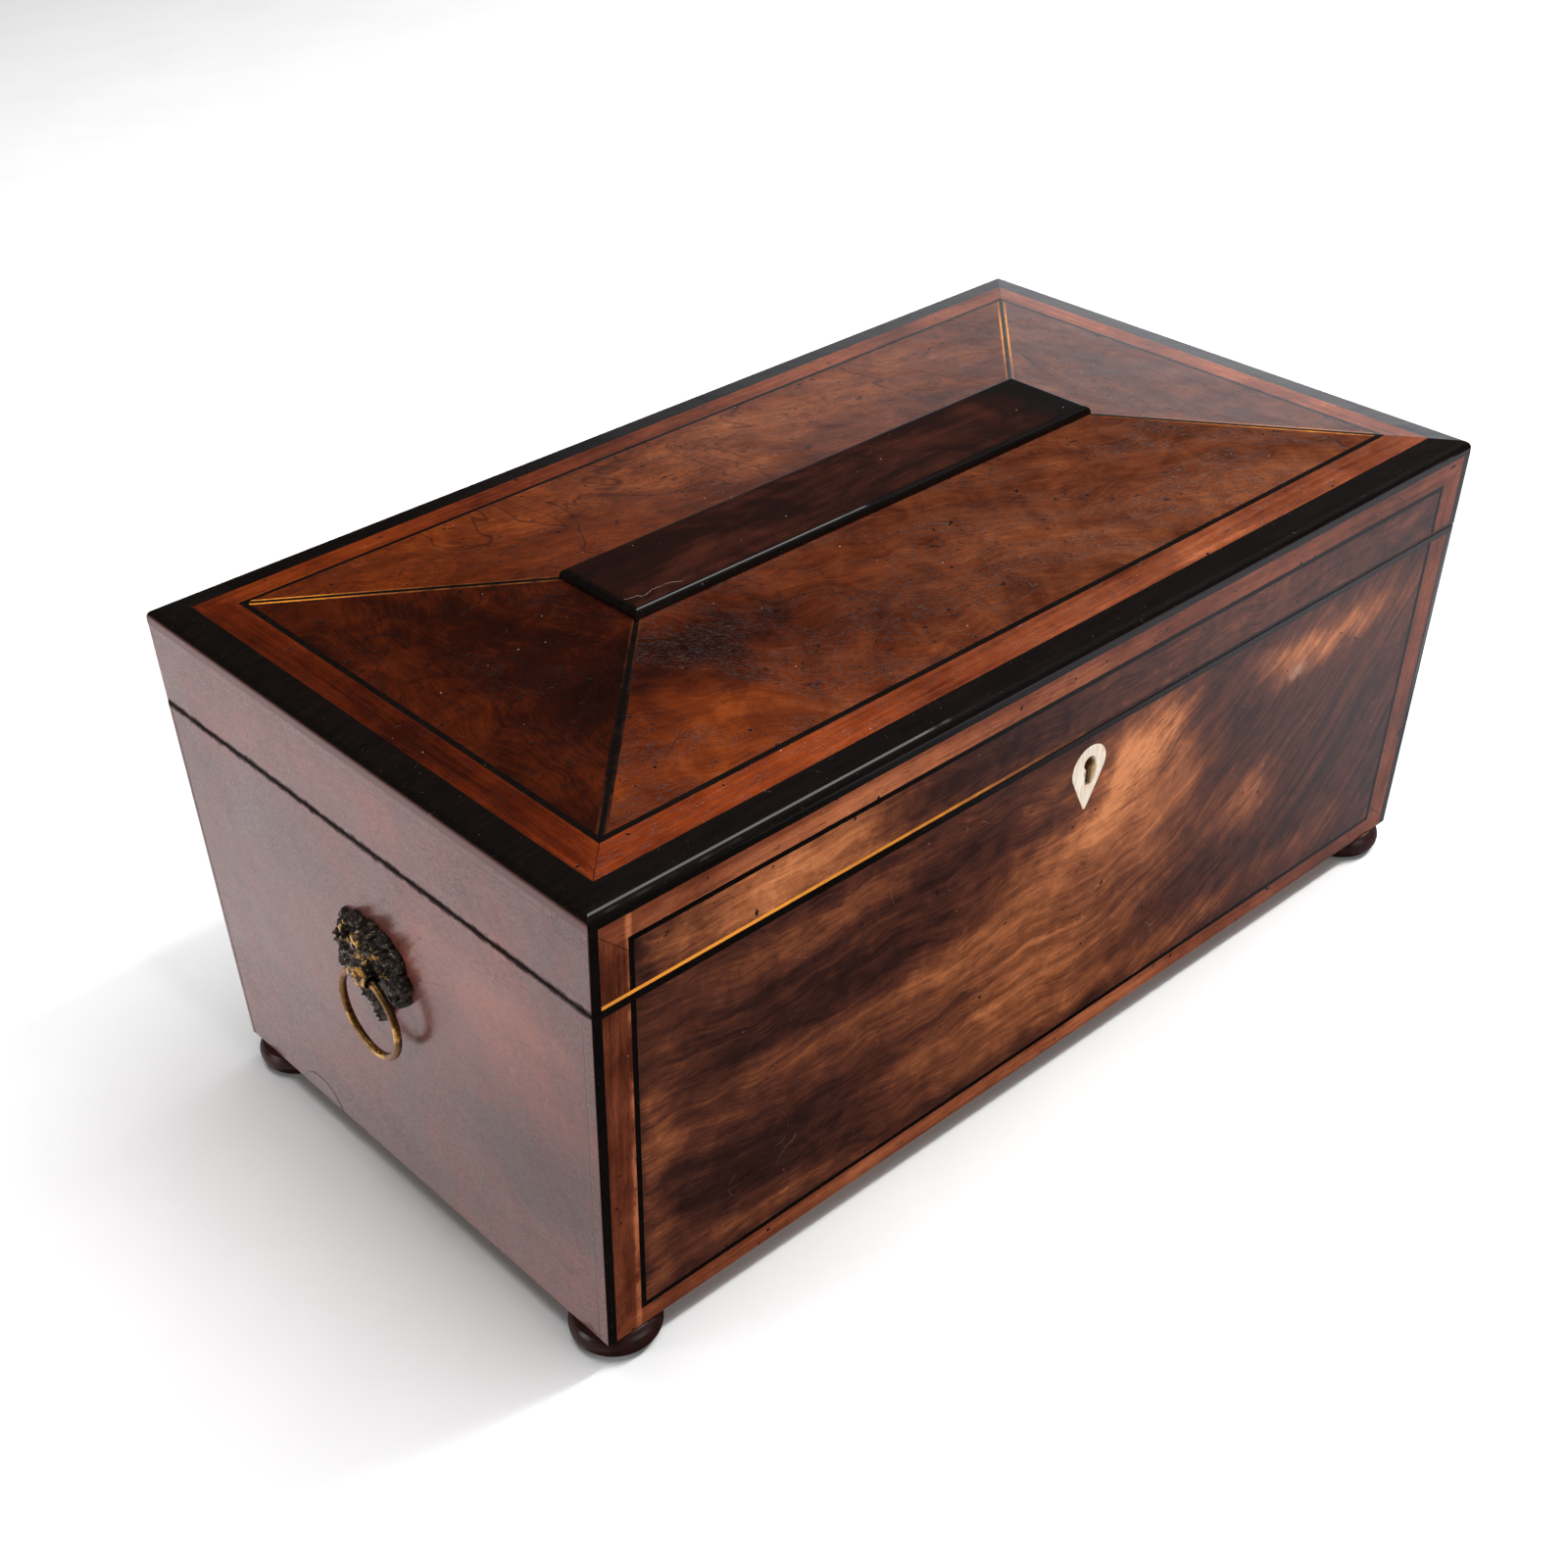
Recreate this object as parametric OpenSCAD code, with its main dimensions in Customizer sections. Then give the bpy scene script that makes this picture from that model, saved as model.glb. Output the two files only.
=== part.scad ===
// Regency tea caddy: a tapered mahogany case with a hinged, hipped lid, two lift-out
// canisters, a glass mixing bowl, a box lock and two lion-mask ring handles.
// X runs along the case, the front faces -Y, Z points up from the surface it stands on.

/* [Case] */
// Length over the edge of the lid
case_l = 305; // [290:1:330]
// Depth over the edge of the lid
case_w = 175.5; // [165:0.5:190]
// Length of the case at its bottom edge
base_l = 303; // [296:1:304]
// Depth of the case at its bottom edge
base_w = 157; // [150:0.5:164]
// Height of the case from its bottom edge to the lid
body_h = 104; // [98:1:115]
// Thickness of the carcass boards
board_t = 7.4; // [6.8:0.1:9]
// Thickness of the veneers
veneer_t = 1; // [0.8:0.1:1.2]
// Thickness of the bottom board
bottom_t = 6; // [5:0.5:8]
// Height of the ebony edging along the rim of the case
rim_t = 2; // [1.5:0.1:2.5]

/* [Lid] */
// Height of the lid's upright sides
lid_h = 25.6; // [24:0.2:30]
// Gap between the case and the shut lid
lid_gap = 0.3; // [0.2:0.05:0.5]
// Rise of the roof for each millimetre in from the edge
roof_rise = 0.12; // [0.1:0.01:0.16]
// Thickness of the roof boards
roof_t = 6; // [5:0.5:7]
// How far the roof runs in before the flat under the tablet
roof_run = 73; // [68:1:75]
// Height of the ebony edge band on the lid's sides
edge_drop = 3.5; // [3:0.1:4.5]
// Radius of the edge band's rounded arris
arris_r = 2.2; // [1:0.1:2.5]
// Thickness of the tablet with its moulding
tablet_t = 2.4; // [2.2:0.1:4]
// Width of the moulding around the tablet
moulding_w = 1.6; // [1.2:0.1:2.5]
// Thickness of the boxwood bead along the lid's front edge
bead_t = 1; // [0.6:0.1:1.4]

/* [Inlay] */
// Width of the square edging on the front corners
corner_w = 2.6; // [2:0.1:3]
// Distance from a front corner to the ebony string
string_in = 10.1; // [8:0.1:12]
// Width of the ebony string
string_w = 1.5; // [1:0.1:2]
// Height of the crossband along the bottom of the front
band_low = 5.6; // [4:0.1:8]
// Height of the crossband along the top of the lid's front
band_top = 6.2; // [5:0.1:8]
// Width of the crossband on the roof
roof_band_w = 8.3; // [6:0.1:10]
// Width of the ebony line on each hip
hip_line_w = 1.2; // [0.8:0.1:1.6]
// Width of the boxwood line on each side of it
hip_box_w = 0.6; // [0.4:0.1:0.8]

/* [Feet] */
// Height of the bun feet
foot_h = 7.5; // [6:0.5:12]
// Radius of the bun feet
foot_r = 11.4; // [9:0.2:13]
// Distance from the bottom edges to a foot's centre
foot_in = 9.2; // [8.6:0.2:16]

/* [Lock] */
// Sideways place of the lock
lock_x = 1.5; // [-3:0.5:3]
// Distance from the rim down to the round of the keyhole
key_drop = 9.8; // [9:0.2:12]

/* [Hinges] */
// Distance from the middle to a hinge
hinge_x = 90; // [70:1:110]
// Length of a hinge leaf
hinge_l = 38; // [34:1:44]
// Outer radius of the knuckles
knuckle_r = 1.65; // [1.5:0.05:1.7]
// Radius of the hinge pins
pin_r = 0.8; // [0.7:0.05:0.9]

/* [Handles] */
// Height of a ring's pivot above the bottom edge of the case
ring_up = 67.8; // [60:0.2:75]
// Distance from the end of the case to the middle of a ring's wire
ring_out = 4.4; // [4.2:0.1:5]
// Mean radius of a ring
ring_r = 11.6; // [9:0.1:13]
// Radius of the ring's wire
wire_r = 1; // [0.8:0.05:1.2]

/* [Fittings] */
// Distance between the two dividers
bay_l = 110; // [106:1:120]
// Thickness of the dividers
divider_t = 4; // [3:0.5:6]
// Distance from the rim down to the canisters' walls
canister_drop = 14; // [12:0.5:20]
// Thickness of the canisters' walls
canister_t = 4.5; // [3:0.5:6]
// Clearance around the canisters
canister_fit = 0.6; // [0.4:0.1:1.5]
// Height of the canisters' knobs
knob_h = 11; // [8:0.5:12]
// Radius of the bowl at its rim
bowl_r = 48; // [44:0.5:48.5]

/* [Hidden] */
$fn = 48;

front = 0;
back = 1;
left = 2;
right = 3;
beyond = 30;

// Levels
z_base = foot_h;
z_floor = z_base + bottom_t;
z_joint = z_base + body_h;
z_rim = z_joint - rim_t;
z_lid = z_joint + lid_gap;
z_edge = z_joint + lid_h;
z_band = z_edge - edge_drop;
z_flat = z_edge + roof_run * roof_rise;

// Thickness from the outside to the inside of a wall
wall = veneer_t + board_t;

// Half the length and half the depth of the outside at height z, upright above the edge band's foot
lean_x = (case_l - base_l) / 2 / (z_band - z_base);
lean_y = (case_w - base_w) / 2 / (z_band - z_base);
function hx(z) = case_l / 2 - lean_x * (z_band - min(z, z_band));
function hy(z) = case_w / 2 - lean_y * (z_band - min(z, z_band));

// The lowest edge of the roof boards, and how far in from the lid's edge the rails let them start
z_board = z_edge + wall * roof_rise - veneer_t - roof_t;
board_in = wall + lean_y * (z_band - z_board);

// The groove for the ebony on a front corner
corner_square = [[0, 0], [corner_w, 0], [corner_w, corner_w], [0, corner_w]];

// Inlay on the front, as distances from the corner
field_in = string_in + string_w;
z_low = z_base + band_low;
z_top = z_band - band_top;
z_bead = z_lid + bead_t;

// Inlay on the roof, as distances in from the lid's edge
roof_string_in = wall + roof_band_w;
roof_field_in = roof_string_in + string_w;
hip_cut = hip_line_w / sqrt(2);
hip_box_cut = hip_cut + hip_box_w * sqrt(2);

// Tablet and its moulding
tablet_half_l = case_l / 2 - roof_run;
tablet_half_w = case_w / 2 - roof_run;
moulding_step = 0.6;

// Lock: the bolt runs along X at lock_y, and two loops on the striker come down to it
lock_set_in = 2.1;
lock_y = -(hy(z_joint) - wall + lock_set_in);
lock_half_l = 19;
lock_half_t = 3.4;
lock_h = 24;
plate_t = 1.2;
plate_half_l = 20;
plate_half_w = 2.8;
loop_x = 8;
loop_half_t = 0.7;
loop_half_w = 2;
loop_drop = 5.4;
loop_eye_z = z_joint - 3.75;
loop_eye = 2.4;
bolt_half_w = 0.85;
bolt_prong_t = 1.7;
bolt_bar_top = z_joint - 5.8;
bolt_bar_t = 1.8;
key_z = z_joint - key_drop;
key_r = 1.9;
key_slot_l = 6.6;
key_slot_w = 2;

// Hinges: the axis runs along X just outside the back, in the middle of the lid's gap
hinge_y = hy(z_joint) + 0.05;
hinge_z = z_joint + lid_gap / 2;
leaf_t = 1.2;
leaf_w = 7;
knuckle_gap = 0.2;
knuckle_room = 0.3;
knuckle_l = hinge_l / 5;
pin_room = 0.05;
screw_spread = 12.5;
screw_back = 4.4;
screw_l = 7;
screw_r = 0.9;
screw_head_r = 1.8;

// Handles
ring_z = z_base + ring_up;
mask_x = hx(ring_z);
mask_plate_t = 2.2;
mask_top_r = 14.2;
mask_top_up = 0.2;
mask_low_r = 12.4;
mask_low_down = 6.4;
face_r = 8;
face_up = 4;
face_t = 3.2;
mask_pin_r = 0.8;
mask_pin_l = 5;
mask_pin_y = 11;
eye_room = 0.9;

// Fittings inside the case
bay_half = bay_l / 2;
divider_out = bay_half + divider_t;
z_canister = z_joint - canister_drop;
canister_x = -(hx(z_canister) - wall + divider_out) / 2;
canister_lid_t = 4;
canister_plug_t = 3;
canister_floor_t = 4;
plug_fit = 0.5;
knob_spigot_r = 2;
bowl_board_t = 4;
bowl_room = 1.6;
z_bowl_board = z_joint - 18;
bowl_h = 89;
bowl_foot_r = 21;
bowl_wall = 3.4;
bowl_stem_r = 13;
bowl_stem_h = 12;
bowl_floor_t = 4;
bowl_deep = bowl_h - 14;
lining_t = 1.5;
spigot_r = 4;
spigot_h = 4;

// A solid between two flat outlines that have the same number of points
module prism(a, b) {
    n = len(a);
    out = cross(a[1] - a[0], a[2] - a[0]) * (b[0] - a[0]) > 0;
    faces = concat(
        [[for (i = [0:n - 1]) i]],
        [[for (i = [n - 1:-1:0]) n + i]],
        [for (i = [0:n - 1]) [i, n + i, n + (i + 1) % n, (i + 1) % n]]
    );
    turned = [for (f = faces) [for (i = [len(f) - 1:-1:0]) f[i]]];
    polyhedron(points = concat(a, b), faces = out ? faces : turned);
}

// A point on a side of the case: u along it, t in from the outside, at height z
function wall_point(side, u, t, z) =
    side == front ? [u, -(hy(z) - t), z] :
    side == back ? [u, hy(z) - t, z] :
    side == left ? [-(hx(z) - t), u, z] : [hx(z) - t, u, z];

// A piece of a side with an outline of [u, z] points, from depth t0 to depth t1
module wall_piece(side, outline, t0, t1) {
    prism([for (p = outline) wall_point(side, p[0], t0, p[1])],
          [for (p = outline) wall_point(side, p[0], t1, p[1])]);
}

// A point on a slope of the roof: u along the side, v in from the edge, t below the surface
function roof_point(side, u, v, t) =
    let (z = z_edge + v * roof_rise - t, x = case_l / 2 - v, y = case_w / 2 - v)
    side == front ? [u, -y, z] :
    side == back ? [u, y, z] :
    side == left ? [-x, u, z] : [x, u, z];

module roof_piece(side, outline, t0, t1) {
    prism([for (p = outline) roof_point(side, p[0], p[1], t0)],
          [for (p = outline) roof_point(side, p[0], p[1], t1)]);
}

// Half the length of a side of the roof, v in from the edge
function roof_half(side, v) = (side == front || side == back ? case_l : case_w) / 2 - v;

// A strip along one side with a section of [t, z] points, mitred at both ends
function mitre_point(side, way, t, z) =
    side == front ? [way * (hx(z) - t), -(hy(z) - t), z] :
    side == back ? [way * (hx(z) - t), hy(z) - t, z] :
    side == left ? [-(hx(z) - t), way * (hy(z) - t), z] : [hx(z) - t, way * (hy(z) - t), z];

module mitred(side, section) {
    prism([for (p = section) mitre_point(side, -1, p[0], p[1])],
          [for (p = section) mitre_point(side, 1, p[0], p[1])]);
}

module mitred_run(section) {
    for (side = [front, back, left, right]) mitred(side, section);
}

// A rectangular section from t0 to t1 and from z0 to z1
function slab(t0, t1, z0, z1) = [[t0, z0], [t1, z0], [t1, z1], [t0, z1]];

// A strip on both front corners, from z0 to z1. Its section is [in from the end, in from the front].
module corner_strips(section, z0, z1) {
    for (s = [-1, 1])
        prism([for (p = section) [s * (hx(z0) - p[0]), -(hy(z0) - p[1]), z0]],
              [for (p = section) [s * (hx(z1) - p[0]), -(hy(z1) - p[1]), z1]]);
}

// The ebony on the front corners. An end's veneer laps its side, and the two meet in a mitre.
module corner_edging(z0, z1) {
    corner_strips([[0, 0], [corner_w, 0], [corner_w, veneer_t], [veneer_t, veneer_t]], z0, z1);
    corner_strips([[veneer_t, veneer_t], [corner_w, veneer_t], [corner_w, corner_w], [veneer_t, corner_w]],
                  z0, z1);
}

// An end's veneer, t in from the face: mitred at the front, and square at the back
function end_outline(t, z0, z1) =
    [[t - hy(z0), z0], [hy(z0) - veneer_t, z0], [hy(z1) - veneer_t, z1], [t - hy(z1), z1]];

module end_skins(z0, z1) {
    for (side = [left, right])
        prism([for (p = end_outline(0, z0, z1)) wall_point(side, p[0], 0, p[1])],
              [for (p = end_outline(veneer_t, z0, z1)) wall_point(side, p[0], veneer_t, p[1])]);
}

// Two uprights and a closing strip on the front, open towards the joint between case and lid
module front_band(z_open, z_out, z_in, c_out, c_in) {
    for (s = [-1, 1])
        wall_piece(front, [
            [s * (hx(z_out) - c_out), z_out], [s * (hx(z_open) - c_out), z_open],
            [s * (hx(z_open) - c_in), z_open], [s * (hx(z_in) - c_in), z_in]], 0, veneer_t);
    wall_piece(front, [
        [-(hx(z_out) - c_out), z_out], [hx(z_out) - c_out, z_out],
        [hx(z_in) - c_in, z_in], [-(hx(z_in) - c_in), z_in]], 0, veneer_t);
}

// A four-sided field on the front that stays c in from both corners
module front_field(z0, z1, c, t0, t1) {
    wall_piece(front, [[-(hx(z0) - c), z0], [hx(z0) - c, z0], [hx(z1) - c, z1], [-(hx(z1) - c), z1]],
               t0, t1);
}

// The room that both hinges' knuckles need in the wood
module knuckle_recess() {
    for (s = [-1, 1])
        translate([s * hinge_x - hinge_l / 2 - 0.3, hinge_y, hinge_z])
            rotate([0, 90, 0])
                cylinder(r = knuckle_r + knuckle_room, h = hinge_l + 0.6);
}

// The room that both hinges' leaves need, from height z0 to z1
module leaf_recess(z0, z1) {
    for (s = [-1, 1])
        translate([s * hinge_x - hinge_l / 2, hinge_y - leaf_w, z0])
            cube([hinge_l, leaf_w, z1 - z0]);
}

// Countersunk screws: way is -1 down into the case or 1 up into the lid
module hinge_screws(z0, way) {
    for (s = [-1, 1], i = [-1, 0, 1])
        translate([s * hinge_x + i * screw_spread, hinge_y - screw_back, z0])
            rotate([way < 0 ? 180 : 0, 0, 0])
                rotate_extrude()
                    polygon([[0, 0], [screw_head_r, 0], [screw_r, 1], [screw_r, screw_l - 1.4],
                             [0, screw_l]]);
}

// The outline of the escutcheon, seen from the front and drawn about the round of the keyhole
module escutcheon_outline() {
    polygon(concat(
        [for (a = [-24:6:204]) [6.1 * cos(a), 6.1 * sin(a) - 0.9]],
        [[-5.0, -4.6], [-3.4, -8.0], [-1.2, -12.4], [-0.4, -14.1], [0.4, -14.1], [1.2, -12.4],
         [3.4, -8.0], [5.0, -4.6]]));
}

// The escutcheon's outline run straight through the front
module escutcheon_blank() {
    translate([lock_x, -(hy(key_z) - 10), key_z])
        rotate([90, 0, 0])
            linear_extrude(20)
                escutcheon_outline();
}

// The keyhole, run from the front to the middle of the lock case
module keyhole() {
    translate([lock_x, lock_y, key_z])
        rotate([90, 0, 0]) {
            cylinder(r = key_r, h = 20);
            translate([-key_slot_w / 2, -key_slot_l, 0])
                cube([key_slot_w, key_slot_l, 20]);
        }
}

// The mortise for the lock case, open to the inside and the rim
module lock_mortise() {
    translate([lock_x - lock_half_l, lock_y - lock_half_t, z_joint - lock_h])
        cube([2 * lock_half_l, beyond, beyond]);
}

module lock_plate_blank(z0, h) {
    translate([lock_x - plate_half_l, lock_y - plate_half_w, z0])
        cube([2 * plate_half_l, 2 * plate_half_w, h]);
}

// The holes for the pins that hold the two masks
module mask_pin_holes() {
    for (s = [-1, 1], w = [-1, 1])
        translate([s * mask_x, w * mask_pin_y, ring_z + 3])
            rotate([0, s * 90, 0])
                translate([0, 0, -mask_pin_l])
                    cylinder(r = mask_pin_r, h = 2 * mask_pin_l);
}

module foot_spigots() {
    for (x = [-1, 1], y = [-1, 1])
        translate([x * (base_l / 2 - foot_in), y * (base_w / 2 - foot_in), 0])
            cylinder(r = spigot_r, h = z_base + spigot_h);
}

// ---- case ----

module case_side(side) {
    difference() {
        mitred(side, slab(veneer_t, wall, z_floor, z_rim));
        corner_strips(corner_square, z_base - 1, z_rim + 1);
        lock_mortise();
        keyhole();
        knuckle_recess();
        leaf_recess(z_joint - leaf_t, z_joint + 1);
        hinge_screws(z_joint, -1);
        mask_pin_holes();
    }
}

module front_board() { color("#6b4128") case_side(front); }

module back_board() { color("#6b4128") case_side(back); }

module left_board() { color("#6b4128") case_side(left); }

module right_board() { color("#6b4128") case_side(right); }

module bottom_board() {
    color("#5d3a25")
        difference() {
            prism([for (p = [[-1, -1], [1, -1], [1, 1], [-1, 1]])
                       [p[0] * (hx(z_base) - veneer_t), p[1] * (hy(z_base) - veneer_t), z_base]],
                  [for (p = [[-1, -1], [1, -1], [1, 1], [-1, 1]])
                       [p[0] * (hx(z_floor) - veneer_t), p[1] * (hy(z_floor) - veneer_t), z_floor]]);
            corner_strips(corner_square, z_base - 1, z_floor + 1);
            foot_spigots();
        }
}

module front_veneer() {
    color("#7a3f1e")
        difference() {
            front_field(z_low + string_w, z_rim, field_in, 0, veneer_t);
            escutcheon_blank();
        }
}

module front_string() {
    color("#16100d") front_band(z_rim, z_low, z_low + string_w, string_in, field_in);
}

module front_crossband() {
    color("#7d3320") front_band(z_rim, z_base, z_low, corner_w, string_in);
}

module case_edging() {
    color("#1a1311") {
        corner_edging(z_base, z_rim);
        difference() {
            union() {
                mitred(front, slab(0, wall, z_rim, z_joint));
                for (side = [back, left, right]) mitred(side, slab(veneer_t, wall, z_rim, z_joint));
            }
            lock_plate_blank(z_joint - plate_t, beyond);
            lock_mortise();
            knuckle_recess();
            leaf_recess(z_joint - leaf_t, z_joint + 1);
            hinge_screws(z_joint, -1);
        }
    }
}

module end_veneers() {
    color("#63372b")
        difference() {
            end_skins(z_base, z_joint);
            mask_pin_holes();
        }
}

module back_veneer() {
    color("#5e3423")
        difference() {
            wall_piece(back, [[-hx(z_base), z_base], [hx(z_base), z_base], [hx(z_joint), z_joint],
                              [-hx(z_joint), z_joint]], 0, veneer_t);
            knuckle_recess();
        }
}

module foot(x, y) {
    px = x * (base_l / 2 - foot_in);
    py = y * (base_w / 2 - foot_in);
    bun = foot_h / 2;
    color("#3a1a14")
        translate([px, py, 0]) {
            rotate_extrude()
                polygon(concat([[0, 0], [foot_r - bun - 0.6, 0]],
                    [for (a = [-75:15:75]) [foot_r - bun + bun * cos(a), bun + bun * sin(a)]],
                    [[foot_r - bun - 0.6, foot_h], [0, foot_h]]));
            cylinder(r = spigot_r, h = z_base + spigot_h);
        }
}

module foot_front_left() { foot(-1, -1); }

module foot_front_right() { foot(1, -1); }

module foot_back_left() { foot(-1, 1); }

module foot_back_right() { foot(1, 1); }

// ---- lock ----

module escutcheon() {
    color("#e4d6bd")
        difference() {
            intersection() {
                escutcheon_blank();
                front_field(z_base, z_joint, corner_w, -0.12, veneer_t);
            }
            keyhole();
        }
}

// The space inside the lock case in which the bolt and the loops move
module lock_pocket() {
    translate([lock_x - lock_half_l + 2, lock_y - loop_half_w - 0.5, bolt_bar_top - bolt_bar_t - 0.4])
        cube([2 * lock_half_l - 5, 2 * loop_half_w + 1, beyond]);
    translate([lock_x, lock_y + loop_half_w + 0.5, key_z])
        rotate([90, 0, 0])
            cylinder(r = 5.6, h = 2 * loop_half_w + 1);
}

module lock_case() {
    color("#8a7038") {
        difference() {
            translate([lock_x - lock_half_l, lock_y - lock_half_t, z_joint - lock_h])
                cube([2 * lock_half_l, 2 * lock_half_t, lock_h - plate_t]);
            lock_pocket();
            keyhole();
        }
        translate([lock_x, lock_y + lock_half_t, key_z])
            rotate([90, 0, 0])
                cylinder(r = 0.8, h = 2 * lock_half_t - 0.6);
    }
}

module lock_plate() {
    color("#b08d45")
        difference() {
            lock_plate_blank(z_joint - plate_t, plate_t);
            for (s = [-1, 1])
                translate([lock_x + s * loop_x - 1.3, lock_y - 2.5, z_joint - 2 * plate_t])
                    cube([2.6, 5, 3 * plate_t]);
        }
}

module lock_bolt() {
    prong_z = loop_eye_z - bolt_prong_t / 2;
    color("#9a9a98")
        translate([lock_x, lock_y - bolt_half_w, 0]) {
            translate([-loop_x - 6.5, 0, bolt_bar_top - bolt_bar_t])
                cube([2 * loop_x + 3, 2 * bolt_half_w, bolt_bar_t]);
            for (s = [-1, 1]) {
                translate([s * loop_x - 6.5, 0, bolt_bar_top - bolt_bar_t])
                    cube([1.6, 2 * bolt_half_w, prong_z + bolt_prong_t - bolt_bar_top + bolt_bar_t]);
                translate([s * loop_x - 6.5, 0, prong_z])
                    cube([5.5, 2 * bolt_half_w, bolt_prong_t]);
            }
        }
}

module lock_striker() {
    color("#b08d45") {
        lock_plate_blank(z_lid, plate_t);
        for (s = [-1, 1])
            difference() {
                translate([lock_x + s * loop_x - loop_half_t, lock_y - loop_half_w, z_joint - loop_drop])
                    cube([2 * loop_half_t, 2 * loop_half_w, loop_drop + lid_gap + plate_t / 2]);
                translate([lock_x + s * loop_x - 2, lock_y - loop_eye / 2, loop_eye_z - loop_eye / 2])
                    cube([4, loop_eye, loop_eye]);
            }
    }
}

// ---- hinges ----

// Knuckles numbered from one end; the case leaf holds 0, 2 and 4 and the lid leaf 1 and 3
module knuckles(numbers, r, gap) {
    for (i = numbers)
        translate([i * knuckle_l - hinge_l / 2 + gap / 2, 0, 0])
            rotate([0, 90, 0])
                cylinder(r = r, h = knuckle_l - gap);
}

module leaf(own, other, z0, bore_r) {
    for (s = [-1, 1])
        translate([s * hinge_x, hinge_y, hinge_z])
            difference() {
                union() {
                    translate([-hinge_l / 2, -leaf_w, z0 - hinge_z])
                        cube([hinge_l, leaf_w, leaf_t]);
                    knuckles(own, knuckle_r, knuckle_gap);
                }
                knuckles(other, knuckle_r + knuckle_room, -knuckle_gap);
                translate([-hinge_l, 0, 0])
                    rotate([0, 90, 0])
                        cylinder(r = bore_r, h = 2 * hinge_l);
                translate([-s * hinge_x, -hinge_y, -hinge_z])
                    hinge_screws(z0 < hinge_z ? z_joint : z_lid, z0 < hinge_z ? -1 : 1);
            }
}

module hinge_case_leaves() { color("#a9843c") leaf([0, 2, 4], [1, 3], z_joint - leaf_t, pin_r); }

module hinge_lid_leaves() { color("#a9843c") leaf([1, 3], [0, 2, 4], z_lid, pin_r + pin_room); }

module hinge_pins() {
    color("#7d7a72")
        for (s = [-1, 1])
            translate([s * hinge_x - hinge_l / 2, hinge_y, hinge_z])
                rotate([0, 90, 0])
                    cylinder(r = pin_r, h = hinge_l);
}

module case_hinge_screws() { color("#b9964c") hinge_screws(z_joint, -1); }

module lid_hinge_screws() { color("#b9964c") hinge_screws(z_lid, 1); }

// ---- handles ----

// A lion mask on the right end: a plate, a face and a muzzle with an eye for the ring
module mask() {
    muzzle_out = ring_out + wire_r + eye_room + 0.9;
    color("#4f4227")
        difference() {
            translate([mask_x, 0, ring_z])
                rotate([0, 90, 0]) {
                    translate([-mask_top_up, 0, -1]) cylinder(r = mask_top_r, h = mask_plate_t + 1);
                    translate([mask_low_down, 0, -1]) cylinder(r = mask_low_r, h = mask_plate_t + 1);
                    translate([-face_up, 0, 0]) cylinder(r = face_r, h = face_t);
                    translate([-2.6, 0, 0]) cylinder(r = 4.2, h = muzzle_out - 0.4);
                    translate([-0.9, -3, 0]) cube([3.6, 6, muzzle_out]);
                }
            wall_piece(right, [[-beyond, ring_z - beyond], [beyond, ring_z - beyond],
                               [beyond, ring_z + beyond], [-beyond, ring_z + beyond]], 0, 3);
            translate([mask_x + ring_out, 11, ring_z])
                rotate([90, 0, 0])
                    cylinder(r = wire_r + eye_room, h = 22);
            mask_pin_holes();
        }
}

module left_mask() { mirror([1, 0, 0]) mask(); }

module right_mask() { mask(); }

module mask_pins() {
    color("#8a6c33")
        for (s = [-1, 1], w = [-1, 1])
            translate([s * mask_x, w * mask_pin_y, ring_z + 3])
                rotate([0, s * 90, 0]) {
                    translate([0, 0, -mask_pin_l])
                        cylinder(r = mask_pin_r, h = mask_pin_l + mask_plate_t);
                    translate([0, 0, mask_plate_t])
                        cylinder(r = 1.3, h = 0.7);
                }
}

module ring(s) {
    color("#8f7434")
        translate([s * (mask_x + ring_out), 0, ring_z - ring_r])
            rotate([0, 90, 0])
                rotate_extrude()
                    translate([ring_r, 0])
                        circle(r = wire_r);
}

module left_ring() { ring(-1); }

module right_ring() { ring(1); }

// ---- fittings ----

module divider(s) {
    color("#70462c")
        prism([for (p = [[bay_half, -1], [divider_out, -1], [divider_out, 1], [bay_half, 1]])
                   [s * p[0], p[1] * (hy(z_floor) - wall), z_floor]],
              [for (p = [[bay_half, -1], [divider_out, -1], [divider_out, 1], [bay_half, 1]])
                   [s * p[0], p[1] * (hy(z_canister) - wall), z_canister]]);
}

module left_divider() { divider(-1); }

module right_divider() { divider(1); }

module bowl_board() {
    color("#7b4527")
        difference() {
            prism([for (p = [[-1, -1], [1, -1], [1, 1], [-1, 1]])
                       [p[0] * bay_half, p[1] * (hy(z_bowl_board) - wall), z_bowl_board]],
                  [for (p = [[-1, -1], [1, -1], [1, 1], [-1, 1]])
                       [p[0] * bay_half, p[1] * (hy(z_bowl_board + bowl_board_t) - wall),
                        z_bowl_board + bowl_board_t]]);
            translate([0, 0, z_bowl_board - 1])
                cylinder(r = bowl_r + bowl_room, h = bowl_board_t + 2, $fn = 96);
            translate([lock_x - lock_half_l - 0.5, lock_y - lock_half_t, z_bowl_board - 1])
                cube([2 * lock_half_l + 1, 2 * lock_half_t + 0.5, bowl_board_t + 2]);
        }
}

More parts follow.
